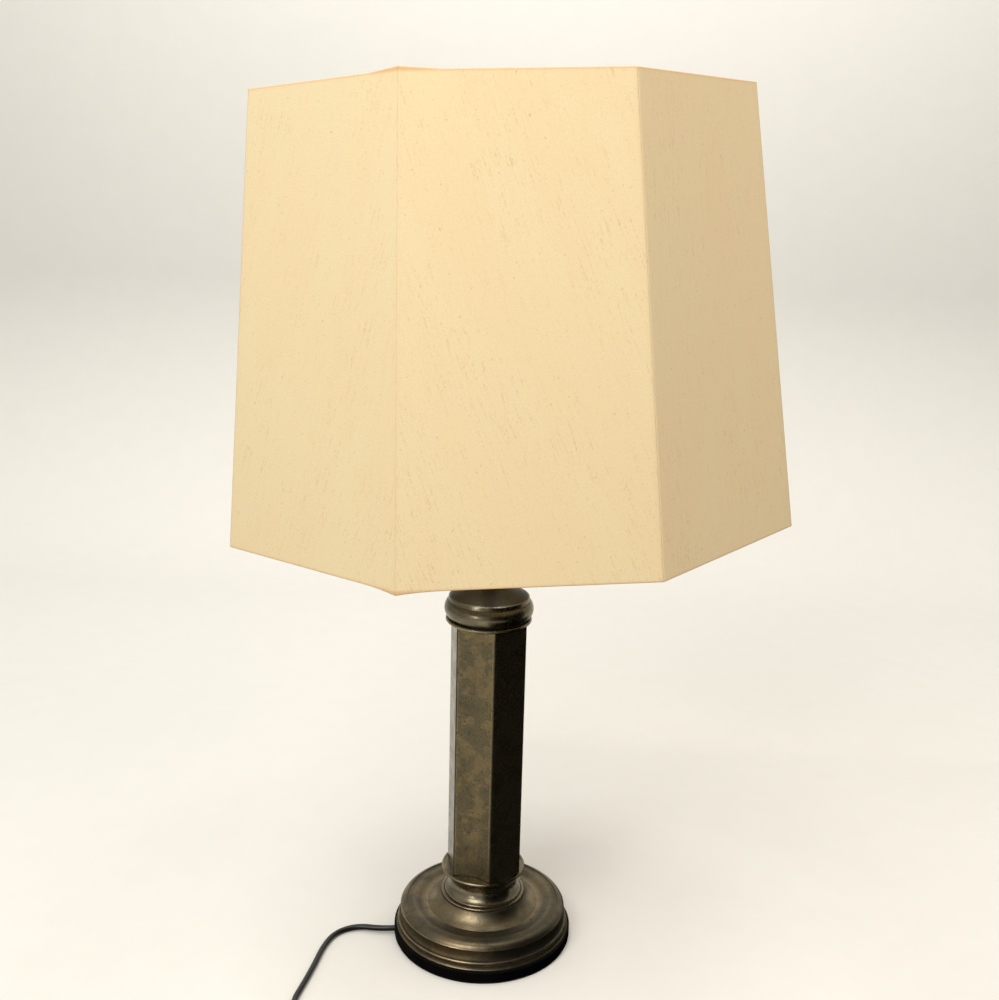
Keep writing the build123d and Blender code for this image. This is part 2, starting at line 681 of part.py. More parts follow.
with BuildPart() as holder_shell:
    shell_inner = HOLDER_RADIUS - HOLDER_WALL
    with BuildSketch(Plane.XY.offset(holder_rim_z)):
        Circle(HOLDER_RADIUS)
        Circle(shell_inner, mode=Mode.SUBTRACT)
    extrude(amount=HOLDER_SHELL_HEIGHT)
    with BuildSketch(Plane.XY.offset(holder_rim_z + HOLDER_SHELL_HEIGHT)):
        Circle(HOLDER_RADIUS + HOLDER_LIP)
        Circle(shell_inner, mode=Mode.SUBTRACT)
    extrude(amount=-2 * HOLDER_LIP)
write(holder_shell, "holder_shell")

core_radius = shell_inner - SEAT_GAP
screw_shell_outer = SCREW_SHELL_RADIUS + SCREW_SHELL_WALL
terminal_radius = (core_radius + screw_shell_outer) / 2
terminal_places = ((0, -terminal_radius), (0, terminal_radius))
with BuildPart() as holder_core:
    with BuildSketch(Plane.XY.offset(holder_rim_z)):
        Circle(core_radius)
    extrude(amount=CORE_HEIGHT)
    with BuildSketch(Plane.XY.offset(core_top)):
        with Locations(*terminal_places):
            Circle(TERMINAL_SHANK + THREAD_PLAY)
    extrude(amount=-TERMINAL_DEPTH, mode=Mode.SUBTRACT)
write(holder_core, "holder_core")

with BuildPart() as terminal_screws:
    with BuildSketch(Plane.XY.offset(core_top)):
        with Locations(*terminal_places):
            Circle(TERMINAL_HEAD)
    extrude(amount=TERMINAL_HEAD)
    with BuildSketch(Plane.XY.offset(core_top)):
        with Locations(*terminal_places):
            Circle(TERMINAL_SHANK)
    extrude(amount=SEAT_GAP - TERMINAL_DEPTH)
write(terminal_screws, "terminal_screws")

with BuildPart() as screw_shell:
    with BuildSketch(Plane.XY.offset(core_top)):
        Circle(screw_shell_outer)
        Circle(SCREW_SHELL_RADIUS, mode=Mode.SUBTRACT)
    extrude(amount=SCREW_SHELL_HEIGHT)
write(screw_shell, "screw_shell")

with BuildPart() as centre_contact:
    leaf = CONTACT_THICKNESS / 2
    with BuildSketch(Plane.XZ):
        with BuildLine():
            Polyline(
                (-CONTACT_WIDTH, core_top + leaf),
                (CONTACT_WIDTH / 2, core_top + leaf),
                (CONTACT_WIDTH, core_top + CONTACT_HEIGHT / 2),
                (-CONTACT_WIDTH / 2, contact_top - leaf),
            )
        trace(line_width=CONTACT_THICKNESS)
    extrude(amount=CONTACT_WIDTH / 2, both=True)
write(centre_contact, "centre_contact")

# Bulb: contact tip, screw cap and pear-shaped glass
bulb_cap_bottom = bulb_bottom + BULB_TIP_HEIGHT
bulb_cap_top = bulb_cap_bottom + BULB_CAP_LENGTH
bulb_cap_radius = SCREW_SHELL_RADIUS - SEAT_GAP
bulb_centre = bulb_bottom + BULB_HEIGHT - BULB_RADIUS

with BuildPart() as bulb_contact:
    with BuildSketch(Plane.XY.offset(bulb_bottom)):
        Circle(BULB_TIP_RADIUS)
    extrude(amount=BULB_TIP_HEIGHT)
    fillet(bulb_contact.edges().sort_by(Axis.Z)[0], BULB_TIP_HEIGHT / 2)
write(bulb_contact, "bulb_contact")

with BuildPart() as bulb_cap:
    with BuildSketch(Plane.XZ):
        with BuildLine():
            cone_top = bulb_cap_bottom + BULB_TIP_HEIGHT
            Polyline(
                (0, bulb_cap_bottom),
                (BULB_TIP_RADIUS, bulb_cap_bottom),
                (bulb_cap_radius, cone_top),
                (bulb_cap_radius, bulb_cap_top),
                (bulb_cap_radius - 2 * BULB_CAP_WALL, bulb_cap_top),
                (bulb_cap_radius - 2 * BULB_CAP_WALL, cone_top),
                (0, cone_top),
                close=True,
            )
        make_face()
    revolve(axis=Axis.Z)
write(bulb_cap, "bulb_cap")

with BuildPart() as bulb_glass:
    waist = radians(BULB_WAIST_ANGLE)
    for wall, mode in ((0, Mode.ADD), (BULB_WALL, Mode.SUBTRACT)):
        radius = BULB_RADIUS - wall
        neck = bulb_cap_radius - BULB_CAP_WALL - wall
        side = (radius * cos(waist), bulb_centre - radius * sin(waist))
        with BuildSketch(Plane.XZ):
            with BuildLine():
                ThreePointArc((0, bulb_centre + radius), (radius, bulb_centre), side)
                TangentArc(side, (neck, bulb_cap_top), tangent=(-sin(waist), -cos(waist)))
                Line((neck, bulb_cap_top), (0, bulb_cap_top))
                Line((0, bulb_cap_top), (0, bulb_centre + radius))
            make_face()
        revolve(axis=Axis.Z, mode=mode)
write(bulb_glass, "bulb_glass")

# Shade: everything on it is placed in its own plane, which leans to the left about the hub
shade_plane = Plane((0, 0, hub_z)).rotated((0, -SHADE_LEAN, 0))
shade_bottom = -SHADE_DROP
shade_top = SHADE_HEIGHT - SHADE_DROP
side_angle = 360 / SHADE_SIDES
corner_ratio = cos(pi / SHADE_SIDES)


def shade_radius(height):
    """Corner radius of the shade's outside at a height above the hub."""
    share = (height - shade_bottom) / SHADE_HEIGHT
    return SHADE_BOTTOM_RADIUS + share * (SHADE_TOP_RADIUS - SHADE_BOTTOM_RADIUS)


def shade_corner(index, radius):
    """A corner of the shade in its plane: corners 0 and 1 bound the front panel."""
    return Vector(radius, 0).rotate(Axis.Z, SHADE_TURN - 90 + (index - 0.5) * side_angle)


for index in range(SHADE_SIDES):
    with BuildPart() as shade_panel:
        for height in (shade_bottom, shade_top):
            outer = shade_radius(height)
            inner = outer - SHADE_WALL / corner_ratio
            along = (shade_corner(index + 1, 1) - shade_corner(index, 1)).normalized() * (SHADE_SEAM / 2)
            with BuildSketch(shade_plane.offset(height)):
                with BuildLine():
                    Polyline(
                        tuple(shade_corner(index, outer) + along),
                        tuple(shade_corner(index + 1, outer) - along),
                        tuple(shade_corner(index + 1, inner) - along),
                        tuple(shade_corner(index, inner) + along),
                        close=True,
                    )
                make_face()
        loft(ruled=True)
    write(shade_panel, f"shade_panel_{index + 1}")

# Top and bottom wires, just inside the panels
ring_inset = (SHADE_WALL + SEAT_GAP + RING_WIRE / 2) / corner_ratio
ring_heights = {"shade_bottom_wire": shade_bottom + RING_INSET, "shade_top_wire": shade_top - RING_INSET}
for name, height in ring_heights.items():
    with BuildPart() as shade_wire:
        ring_radius = shade_radius(height) - ring_inset
        with BuildLine(shade_plane.offset(height)) as ring_line:
            FilletPolyline(
                [tuple(shade_corner(index, ring_radius)) for index in range(SHADE_SIDES)],
                radius=RING_CORNER,
                close=True,
            )
        with BuildSketch(Plane(ring_line.line @ 0, z_dir=ring_line.line % 0)):
            Circle(RING_WIRE / 2)
        sweep()
    write(shade_wire, name)

# Struts up the corners, from wire to wire
with BuildPart() as corner_struts:
    strut_inset = (SHADE_WALL + SEAT_GAP + RING_WIRE / 2) / corner_ratio
    low = ring_heights["shade_bottom_wire"] + RING_WIRE / 2 + SEAT_GAP
    high = ring_heights["shade_top_wire"] - RING_WIRE / 2 - SEAT_GAP
    for index in range(SHADE_SIDES):
        foot = shade_corner(index, shade_radius(low) - strut_inset) + Vector(0, 0, low)
        head = shade_corner(index, shade_radius(high) - strut_inset) + Vector(0, 0, high)
        foot = shade_plane.from_local_coords(foot)
        head = shade_plane.from_local_coords(head)
        with BuildSketch(Plane(foot, z_dir=head - foot)):
            Circle(STRUT_WIRE / 2)
        extrude(amount=(head - foot).length)
write(corner_struts, "corner_struts")

# Spider: a hub washer on the stud's seat, and arms that rise to the top wire
with BuildPart() as spider_hub:
    with BuildSketch(shade_plane.offset(-HUB_HEIGHT / 2)):
        Circle(HUB_RADIUS)
        Circle(STUD_RADIUS + HUB_PLAY, mode=Mode.SUBTRACT)
    extrude(amount=HUB_HEIGHT)
write(spider_hub, "spider_hub")

with BuildPart() as spider_arms:
    arm_top = ring_heights["shade_top_wire"]
    wire_reach = (shade_radius(arm_top) - ring_inset) * corner_ratio
    elbow = Vector(wire_reach - ARM_RISE_WIDTH, 0)
    wire_point = Vector(wire_reach, arm_top)
    arm_end = wire_point - (wire_point - elbow).normalized() * (RING_WIRE / 2 + SEAT_GAP)
    for arm in range(SPIDER_ARMS):
        arm_turn = SHADE_TURN - 90 + (SHADE_SIDES // SPIDER_ARMS * arm + 1) * side_angle
        outward = shade_plane.from_local_coords(Vector(1, 0).rotate(Axis.Z, arm_turn)) - shade_plane.origin
        arm_plane = Plane(shade_plane.origin, x_dir=outward, z_dir=outward.cross(shade_plane.z_dir))
        with BuildLine(arm_plane) as arm_line:
            FilletPolyline(
                (HUB_RADIUS + SEAT_GAP, 0),
                (elbow.X, elbow.Y),
                (arm_end.X, arm_end.Y),
                radius=ARM_BEND,
            )
        with BuildSketch(Plane(arm_line.line @ 0, z_dir=arm_line.line % 0)):
            Circle(ARM_WIRE / 2)
        sweep(path=arm_line.wire())
write(spider_arms, "spider_arms")


# Flex: bends take nearly all the room that each corner of a route leaves
def bend_radii(points):
    """Radius for each inner point: 0.45 of the shorter run over the tangent of half the turn."""
    radii = []
    for before, here, after in zip(points, points[1:], points[2:]):
        half_turn = radians((here - before).get_angle(after - here)) / 2
        radii.append(0.45 * min((here - before).length, (after - here).length) / tan(half_turn))
    return radii


def flex_piece(points, radii, name):
    """One length of round flex along its points."""
    with BuildPart() as piece:
        with BuildLine():
            route = FilletPolyline(*points, radius=radii)
        with BuildSketch(Plane(route @ 0, z_dir=route % 0)):
            Circle(flex_radius)
        sweep(path=route)
    share = piece.part.volume / (pi * flex_radius**2 * route.length)
    print(name, "length", round(route.length, 1), "least radius", round(min(radii), 1), "volume", round(share, 4))
    write(piece, name)


flex_exit = Vector(*exit_plane.origin)
flex_floor_z = flex_radius + FLOOR_GAP
switch_mid = SWITCH_HEIGHT / 2
plug_mid = PLUG_HEIGHT / 2
coil_low_z = TIE_WALL + SEAT_GAP + flex_radius
coil_high_z = coil_low_z + COIL_PITCH
coil_outer_radius = COIL_INNER_RADIUS + COIL_TURNS_IN * COIL_PITCH
coil_end_radius = COIL_INNER_RADIUS + COIL_TURNS_OUT * COIL_PITCH
coil_centre_y = FLEX_ROW_Y - coil_outer_radius
coil_end_y = coil_centre_y + coil_end_radius
coil_start_x = COIL_CENTRE_X - FLEX
coil_end_x = COIL_CENTRE_X + FLEX
switch_end_x = SWITCH_START_X + SWITCH_LENGTH

# Inside the lamp: in through the bushing, then up the tube to the holder
inner_points = [flex_exit, Vector(0, 0, FLEX_HEIGHT), Vector(0, 0, holder_rim_z)]
flex_piece(inner_points, [rod_bottom - FLEX_HEIGHT], "inner_flex")

# From the base to the switch: out to the left, round to the front and along the floor
run_1_points = [
    flex_exit,
    flex_exit + flex_out * 12,
    Vector(-113.5, -10.8, 3.4),
    Vector(-131.8, -21.6, flex_floor_z),
    Vector(-138.6, -43.2, flex_floor_z),
    Vector(-141.0, -70.0, flex_floor_z),
    Vector(-144.6, -96.0, flex_floor_z),
    Vector(-148.8, -121.0, flex_floor_z),
    Vector(-139.7, -138.8, flex_floor_z),
    Vector(-122.9, -147.7, 4.4),
    Vector(SWITCH_START_X - 6, FLEX_ROW_Y, switch_mid),
    Vector(SWITCH_START_X + SWITCH_SEAT, FLEX_ROW_Y, switch_mid),
]
flex_piece(run_1_points, bend_radii(run_1_points), "flex_run_1")

# From the switch to the coil
run_2_points = [
    Vector(switch_end_x - SWITCH_SEAT, FLEX_ROW_Y, switch_mid),
    Vector(switch_end_x + 15, FLEX_ROW_Y, switch_mid),
    Vector(coil_start_x - 22, FLEX_ROW_Y, coil_low_z),
    Vector(coil_start_x, FLEX_ROW_Y, coil_low_z),
]
flex_piece(run_2_points, bend_radii(run_2_points), "flex_run_2")

# From the coil to the plug
run_3_points = [
    Vector(coil_end_x, coil_end_y, coil_high_z),
    Vector(coil_end_x + 20.5, coil_end_y, coil_high_z),
    Vector(PLUG_START_X - 14.5, FLEX_ROW_Y, plug_mid),
    Vector(PLUG_START_X + PLUG_SOCKET, FLEX_ROW_Y, plug_mid),
]
flex_piece(run_3_points, bend_radii(run_3_points), "flex_run_3")


# Coil of spare flex: a flat spiral in, a half turn that climbs, and a flat spiral out on top
def coil_point(turns):
    """Place and heading on the coil after a number of turns, clockwise from the +Y side."""
    climb = turns - COIL_TURNS_IN
    height, slope, reach, spread = coil_low_z, 0.0, coil_outer_radius - COIL_PITCH * turns, -COIL_PITCH
    if climb > 0:
        share = min(climb / COIL_TURNS_CLIMB, 1)
        height += COIL_PITCH * (3 * share**2 - 2 * share**3)
        slope = COIL_PITCH * 6 * share * (1 - share) / COIL_TURNS_CLIMB
        reach = COIL_INNER_RADIUS - 4 * COIL_DIP * share * (1 - share)
        spread = 0.0
    if climb > COIL_TURNS_CLIMB:
        reach = COIL_INNER_RADIUS + COIL_PITCH * (climb - COIL_TURNS_CLIMB)
        spread = COIL_PITCH
    angle = 2 * pi * turns
    round_about = Vector(cos(angle), -sin(angle)) * (2 * pi * reach)
    heading = round_about + Vector(sin(angle), cos(angle)) * spread + Vector(0, 0, slope)
    place = Vector(COIL_CENTRE_X + reach * sin(angle), coil_centre_y + reach * cos(angle), height)
    return place, heading.normalized()


coil_turns = COIL_TURNS_IN + COIL_TURNS_CLIMB + COIL_TURNS_OUT
with BuildPart() as flex_coil:
    with BuildLine() as coil_line:
        place, heading = Vector(COIL_CENTRE_X, FLEX_ROW_Y, coil_low_z), Vector(1, 0, 0)
        Line(place - heading * FLEX, place)
        for quarter in range(1, int(4 * coil_turns) + 1):
            next_place, next_heading = coil_point(quarter / 4)
            if quarter == int(4 * coil_turns):
                next_heading = Vector(1, 0, 0)
            # Two arcs that meet with one tangent, each with the same length of tangent
            chord = next_place - place
            both = heading + next_heading
            bend = 2 * (1 - heading.dot(next_heading))
            reach = (sqrt(chord.dot(both) ** 2 + bend * chord.dot(chord)) - chord.dot(both)) / bend
            middle = (place + heading * reach + next_place - next_heading * reach) / 2
            TangentArc(place, middle, tangent=heading)
            TangentArc(next_place, middle, tangent=-next_heading)
            place, heading = next_place, next_heading
        Line(place, place + heading * FLEX)
    coil_wire = coil_line.wire()
    with BuildSketch(Plane((coil_start_x, FLEX_ROW_Y, coil_low_z), z_dir=(1, 0, 0))):
        Circle(flex_radius)
    sweep(path=coil_wire)
write(flex_coil, "flex_coil")

coil_share = flex_coil.part.volume / (pi * flex_radius**2 * coil_wire.length)
samples = 900
skip = int(3 * FLEX / coil_wire.length * samples) + 1
coil_points = [tuple(coil_wire @ (index / samples)) for index in range(samples + 1)]
coil_gap = min(
    dist(coil_points[first], coil_points[second])
    for first in range(samples + 1)
    for second in range(first + skip, samples + 1)
) - FLEX
print("flex_coil length", round(coil_wire.length, 1), "volume", round(coil_share, 4), "least gap", round(coil_gap, 2))

# Tie round the bundle on the coil's front side
with BuildPart() as coil_tie:
    tie_inner = coil_centre_y - COIL_INNER_RADIUS + flex_radius + TIE_GAP
    tie_outer = coil_centre_y - coil_end_radius - flex_radius - TIE_GAP
    tie_room = coil_high_z + flex_radius + SEAT_GAP - TIE_WALL
    tie_width = tie_inner - tie_outer
    tie_centre = Vector(COIL_CENTRE_X, (tie_inner + tie_outer) / 2, TIE_WALL + tie_room / 2)
    with BuildSketch(Plane(tie_centre, x_dir=(0, 1, 0), z_dir=(1, 0, 0))):
        RectangleRounded(tie_width + 2 * TIE_WALL, tie_room + 2 * TIE_WALL, TIE_CORNER + TIE_WALL)
        RectangleRounded(tie_width, tie_room, TIE_CORNER, mode=Mode.SUBTRACT)
    extrude(amount=TIE_WIDTH / 2, both=True)
write(coil_tie, "coil_tie")

# Inline switch: base, cover, rocker on stub pins, and two screws from below
switch_plane = Plane((SWITCH_START_X + SWITCH_LENGTH / 2, FLEX_ROW_Y, 0))
socket_planes = (
    Plane((SWITCH_START_X, FLEX_ROW_Y, switch_mid), z_dir=(1, 0, 0)),
    Plane((switch_end_x, FLEX_ROW_Y, switch_mid), z_dir=(-1, 0, 0)),
)
screw_places = ((-SWITCH_SCREW_SPREAD, SWITCH_SCREW_OFFSET), (SWITCH_SCREW_SPREAD, -SWITCH_SCREW_OFFSET))
rocker_pivot = switch_plane.origin + Vector(0, 0, SWITCH_HEIGHT - ROCKER_PIVOT_DEPTH)
tilt = radians(ROCKER_TILT)
rocker_room = ROCKER_LENGTH / 2 * cos(tilt) + ROCKER_END_HEIGHT * sin(tilt) + ROCKER_GAP

with BuildPart() as switch_base:
    with BuildSketch(switch_plane):
        SlotOverall(SWITCH_LENGTH, SWITCH_WIDTH)
    extrude(amount=switch_mid)
    fillet(switch_base.edges().group_by(Axis.Z)[0], SWITCH_EDGE)
    with BuildSketch(*socket_planes):
        Circle(flex_bore)
    extrude(amount=SWITCH_SEAT, mode=Mode.SUBTRACT)
    with BuildSketch(switch_plane):
        with Locations(*screw_places):
            Circle(SWITCH_SCREW + HOLE_PLAY)
    extrude(amount=switch_mid, mode=Mode.SUBTRACT)
    with BuildSketch(switch_plane):
        with Locations(*screw_places):
            Circle(SWITCH_SCREW_HEAD + HOLE_PLAY)
    extrude(amount=SWITCH_HEAD_DEPTH, mode=Mode.SUBTRACT)
write(switch_base, "switch_base")

with BuildPart() as switch_cover:
    with BuildSketch(switch_plane.offset(switch_mid)):
        SlotOverall(SWITCH_LENGTH, SWITCH_WIDTH)
    extrude(amount=switch_mid)
    fillet(switch_cover.edges().group_by(Axis.Z)[-1], SWITCH_EDGE)
    with BuildSketch(switch_plane.offset(switch_mid)):
        Rectangle(2 * rocker_room, ROCKER_WIDTH + 2 * ROCKER_GAP)
    extrude(amount=switch_mid, mode=Mode.SUBTRACT)
    with BuildSketch(Plane(rocker_pivot, z_dir=(0, 1, 0))):
        Circle(ROCKER_PIN + THREAD_PLAY)
    extrude(amount=ROCKER_WIDTH / 2 + ROCKER_PIN_LENGTH + HOLE_PLAY, both=True, mode=Mode.SUBTRACT)
    with BuildSketch(*socket_planes):
        Circle(flex_bore)
    extrude(amount=SWITCH_SEAT, mode=Mode.SUBTRACT)
    with BuildSketch(switch_plane.offset(switch_mid)):
        with Locations(*screw_places):
            Circle(SWITCH_SCREW + THREAD_PLAY)
    extrude(amount=SWITCH_SCREW_DEPTH, mode=Mode.SUBTRACT)
write(switch_cover, "switch_cover")

with BuildPart() as switch_rocker:
    rocker_plane = Plane(rocker_pivot, x_dir=(cos(tilt), 0, sin(tilt)), z_dir=(0, -1, 0))
    with BuildSketch(rocker_plane):
        with BuildLine():
            half = ROCKER_LENGTH / 2
            low = ROCKER_END_HEIGHT - ROCKER_DIP - ROCKER_KEEL + 0.5
            Polyline(
                (-half, low),
                (0, -ROCKER_KEEL),
                (half, low),
                (half, ROCKER_END_HEIGHT),
                (0, ROCKER_END_HEIGHT - ROCKER_DIP),
                (-half, ROCKER_END_HEIGHT),
                close=True,
            )
        make_face()
    extrude(amount=ROCKER_WIDTH / 2, both=True)
    with BuildSketch(rocker_plane):
        Circle(ROCKER_PIN)
    extrude(amount=ROCKER_WIDTH / 2 + ROCKER_PIN_LENGTH, both=True)
write(switch_rocker, "switch_rocker")

with BuildPart() as switch_screws:
    with BuildSketch(switch_plane.offset(SEAT_GAP)):
        with Locations(*screw_places):
            Circle(SWITCH_SCREW_HEAD)
    extrude(amount=SWITCH_HEAD_DEPTH - SEAT_GAP)
    with BuildSketch(switch_plane.offset(SWITCH_HEAD_DEPTH)):
        with Locations(*screw_places):
            Circle(SWITCH_SCREW)
    extrude(amount=switch_mid + SWITCH_SCREW_DEPTH - SEAT_GAP - SWITCH_HEAD_DEPTH)
write(switch_screws, "switch_screws")

# Plug: a flat moulded body with a tapered tail, and two round pins
plug_root_x = PLUG_START_X + PLUG_TAIL
plug_face_x = plug_root_x + PLUG_LENGTH
plug_face = Plane((plug_face_x, FLEX_ROW_Y, plug_mid), x_dir=(0, 1, 0), z_dir=(1, 0, 0))
pin_places = ((-PIN_SPACING / 2, 0), (PIN_SPACING / 2, 0))
with BuildPart() as plug_body:
    with BuildSketch(Plane((plug_root_x, FLEX_ROW_Y, 0))) as plug_outline:
        with BuildLine():
            Polyline(
                (0, -PLUG_WAIST / 2),
                (PLUG_FLARE, -PLUG_WIDTH / 2),
                (PLUG_LENGTH, -PLUG_WIDTH / 2),
                (PLUG_LENGTH, PLUG_WIDTH / 2),
                (PLUG_FLARE, PLUG_WIDTH / 2),
                (0, PLUG_WAIST / 2),
                close=True,
            )
        make_face()
        fillet(plug_outline.vertices(), PLUG_EDGE)
    extrude(amount=PLUG_HEIGHT)
    fillet(plug_body.edges().group_by(Axis.Z)[-1] + plug_body.edges().group_by(Axis.Z)[0], 0.9 * PLUG_EDGE)
    with BuildSketch(Plane((PLUG_START_X, FLEX_ROW_Y, plug_mid), z_dir=(1, 0, 0))):
        Circle(PLUG_TAIL_RADIUS)
    with BuildSketch(Plane((plug_root_x + PLUG_EDGE, FLEX_ROW_Y, plug_mid), z_dir=(1, 0, 0))):
        Circle(1.4 * PLUG_TAIL_RADIUS)
    loft()
    with BuildSketch(Plane((PLUG_START_X, FLEX_ROW_Y, plug_mid), z_dir=(1, 0, 0))):
        Circle(flex_bore)
    extrude(amount=PLUG_SOCKET, mode=Mode.SUBTRACT)
    with BuildSketch(plug_face):
        with Locations(*pin_places):
            Circle(PIN_ROOT_RADIUS + THREAD_PLAY)
    extrude(amount=-PIN_DEPTH, mode=Mode.SUBTRACT)
write(plug_body, "plug_body")

with BuildPart() as plug_pins:
    with BuildSketch(plug_face):
        with Locations(*pin_places):
            Circle(PIN_ROOT_RADIUS)
    extrude(amount=SEAT_GAP - PIN_DEPTH)
    with BuildSketch(plug_face):
        with Locations(*pin_places):
            Circle(PIN_RADIUS)
    extrude(amount=PIN_LENGTH)
    fillet(plug_pins.edges().group_by(Axis.X)[-1], PIN_RADIUS / 2)
write(plug_pins, "plug_pins")
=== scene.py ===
# %% [markdown]
# # Table lamp with an eight-sided shade
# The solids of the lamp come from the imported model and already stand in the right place, in metres. This
# lesson gives them their finishes, lays a smooth flex in place of the plain tubes, stretches fabric over
# the shade's wires, and adds the small parts of the bulb and the harp.

import bpy
import numpy as np
from mathutils import Matrix, Vector


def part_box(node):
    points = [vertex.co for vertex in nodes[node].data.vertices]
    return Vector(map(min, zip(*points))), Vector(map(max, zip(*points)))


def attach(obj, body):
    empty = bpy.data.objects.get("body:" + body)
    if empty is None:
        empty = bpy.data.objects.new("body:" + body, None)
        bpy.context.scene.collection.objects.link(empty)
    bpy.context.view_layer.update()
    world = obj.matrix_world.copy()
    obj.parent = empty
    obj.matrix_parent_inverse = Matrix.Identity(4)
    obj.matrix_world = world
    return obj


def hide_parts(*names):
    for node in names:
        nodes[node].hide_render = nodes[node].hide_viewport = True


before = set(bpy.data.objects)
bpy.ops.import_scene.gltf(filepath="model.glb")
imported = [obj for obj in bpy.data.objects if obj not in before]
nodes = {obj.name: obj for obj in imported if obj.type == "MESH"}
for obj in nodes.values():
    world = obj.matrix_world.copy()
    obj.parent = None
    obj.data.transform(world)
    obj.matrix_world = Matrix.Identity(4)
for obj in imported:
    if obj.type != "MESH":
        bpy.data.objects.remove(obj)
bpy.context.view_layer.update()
MM = 0.001

# %% [markdown]
# ## Camera
# The lamp is seen from a little above the middle of the shade, with the camera tipped down and turned
# slightly. A "track to" constraint could aim it, but would lose the roll. So three angles build the
# camera's own axes, which go straight into its matrix.

# %% Camera, in metres, radians and mm
CAMERA_PLACE = (0.05577, -0.95220, 0.64620)
CAMERA_YAW = -0.0515
CAMERA_PITCH = -0.2451
CAMERA_ROLL = 0.0247
CAMERA_LENS = 42.27

look = Vector((np.sin(CAMERA_YAW) * np.cos(CAMERA_PITCH),
               np.cos(CAMERA_YAW) * np.cos(CAMERA_PITCH),
               np.sin(CAMERA_PITCH)))
level = Vector((np.cos(CAMERA_YAW), -np.sin(CAMERA_YAW), 0.0))
upward = level.cross(look)
right = level * np.cos(CAMERA_ROLL) + upward * np.sin(CAMERA_ROLL)
top = upward * np.cos(CAMERA_ROLL) - level * np.sin(CAMERA_ROLL)

camera_data = bpy.data.cameras.new("camera")
camera_data.lens = CAMERA_LENS
camera_data.sensor_width = 36.0
camera_data.clip_start = 0.01
camera = bpy.data.objects.new("camera", camera_data)
bpy.context.scene.collection.objects.link(camera)
camera.matrix_world = Matrix((
    (right.x, top.x, -look.x, CAMERA_PLACE[0]),
    (right.y, top.y, -look.y, CAMERA_PLACE[1]),
    (right.z, top.z, -look.z, CAMERA_PLACE[2]),
    (0, 0, 0, 1),
))
bpy.context.scene.camera = camera
print("camera looks along", [round(value, 3) for value in look])

# %% [markdown]
# ## Meshes from arrays
# The new pieces could be modelled by hand, but then their sizes would be lost in the mesh. Here every
# piece is a grid: a function of two parameters gives one point for each pair, and neighbouring points
# share a four-sided face. A direction that closes on itself reuses its first row.

# %% Grid helper
def grid_mesh(name, points, closed_u=False, closed_v=False, uv=None, flip=False, ends=False):
    """A mesh from an array of shape (rows, columns, 3): each face joins four neighbouring points.

    With ends, the first and last rows, which are loops, get a face each. Flip turns the faces over.
    """
    rows, columns = points.shape[:2]
    index = np.arange(rows * columns).reshape(rows, columns)
    down = np.concatenate([index, index[:1]]) if closed_u else index
    table = np.concatenate([down, down[:, :1]], axis=1) if closed_v else down
    corners = [table[:-1, :-1], table[:-1, 1:], table[1:, 1:], table[1:, :-1]]
    loops = np.stack(corners[::-1] if flip else corners, axis=-1).reshape(-1, 4).tolist()
    if ends:
        loops += [index[0].tolist()[::1 if flip else -1], index[-1].tolist()[::-1 if flip else 1]]
    mesh = bpy.data.meshes.new(name)
    mesh.from_pydata(points.reshape(-1, 3).tolist(), [], loops)
    if uv is not None:
        layer = mesh.uv_layers.new(name="UVMap")
        flat = uv.reshape(-1, 2)[np.concatenate([np.array(loop) for loop in loops])]
        layer.data.foreach_set("uv", flat.reshape(-1).astype(np.float32))
    mesh.shade_smooth()
    piece = bpy.data.objects.new(name, mesh)
    bpy.context.scene.collection.objects.link(piece)
    return piece


# %% [markdown]
# ## Shader maths
# Nodes could be added and linked one by one, but a finish is easier to read as a formula. A wrapped
# socket allows that: `1 - mask * 0.5` adds two Math nodes. Everything else comes from one method, which
# sets a node's options first and then its inputs.

# %% Sockets
class Socket:
    """An output socket; arithmetic on it adds Math nodes to its finish."""

    def __init__(self, finish, output):
        self.finish = finish
        self.output = output

    def math(self, operation, *others):
        values = {0: self} | {place + 1: other for place, other in enumerate(others)}
        return self.finish.node("ShaderNodeMath", {"operation": operation}, values)

    def __add__(self, other):
        return self.math("ADD", other)

    def __radd__(self, other):
        return self.math("ADD", other)

    def __sub__(self, other):
        return self.math("SUBTRACT", other)

    def __rsub__(self, other):
        return self.finish.node("ShaderNodeMath", {"operation": "SUBTRACT"}, {0: other, 1: self})

    def __mul__(self, other):
        return self.math("MULTIPLY", other)

    def __rmul__(self, other):
        return self.math("MULTIPLY", other)

    def step(self, low, high):
        """0 below low, 1 above high, and a smooth rise between them."""
        options = {"interpolation_type": "SMOOTHSTEP"}
        values = {"Value": self, "From Min": low, "From Max": high, "To Min": 0.0, "To Max": 1.0}
        return self.finish.node("ShaderNodeMapRange", options, values)

    def near(self, centre, width):
        """1 at a centre, falling smoothly to 0 a width away on both sides."""
        return 1.0 - (self - centre).math("ABSOLUTE").step(0.0, width)


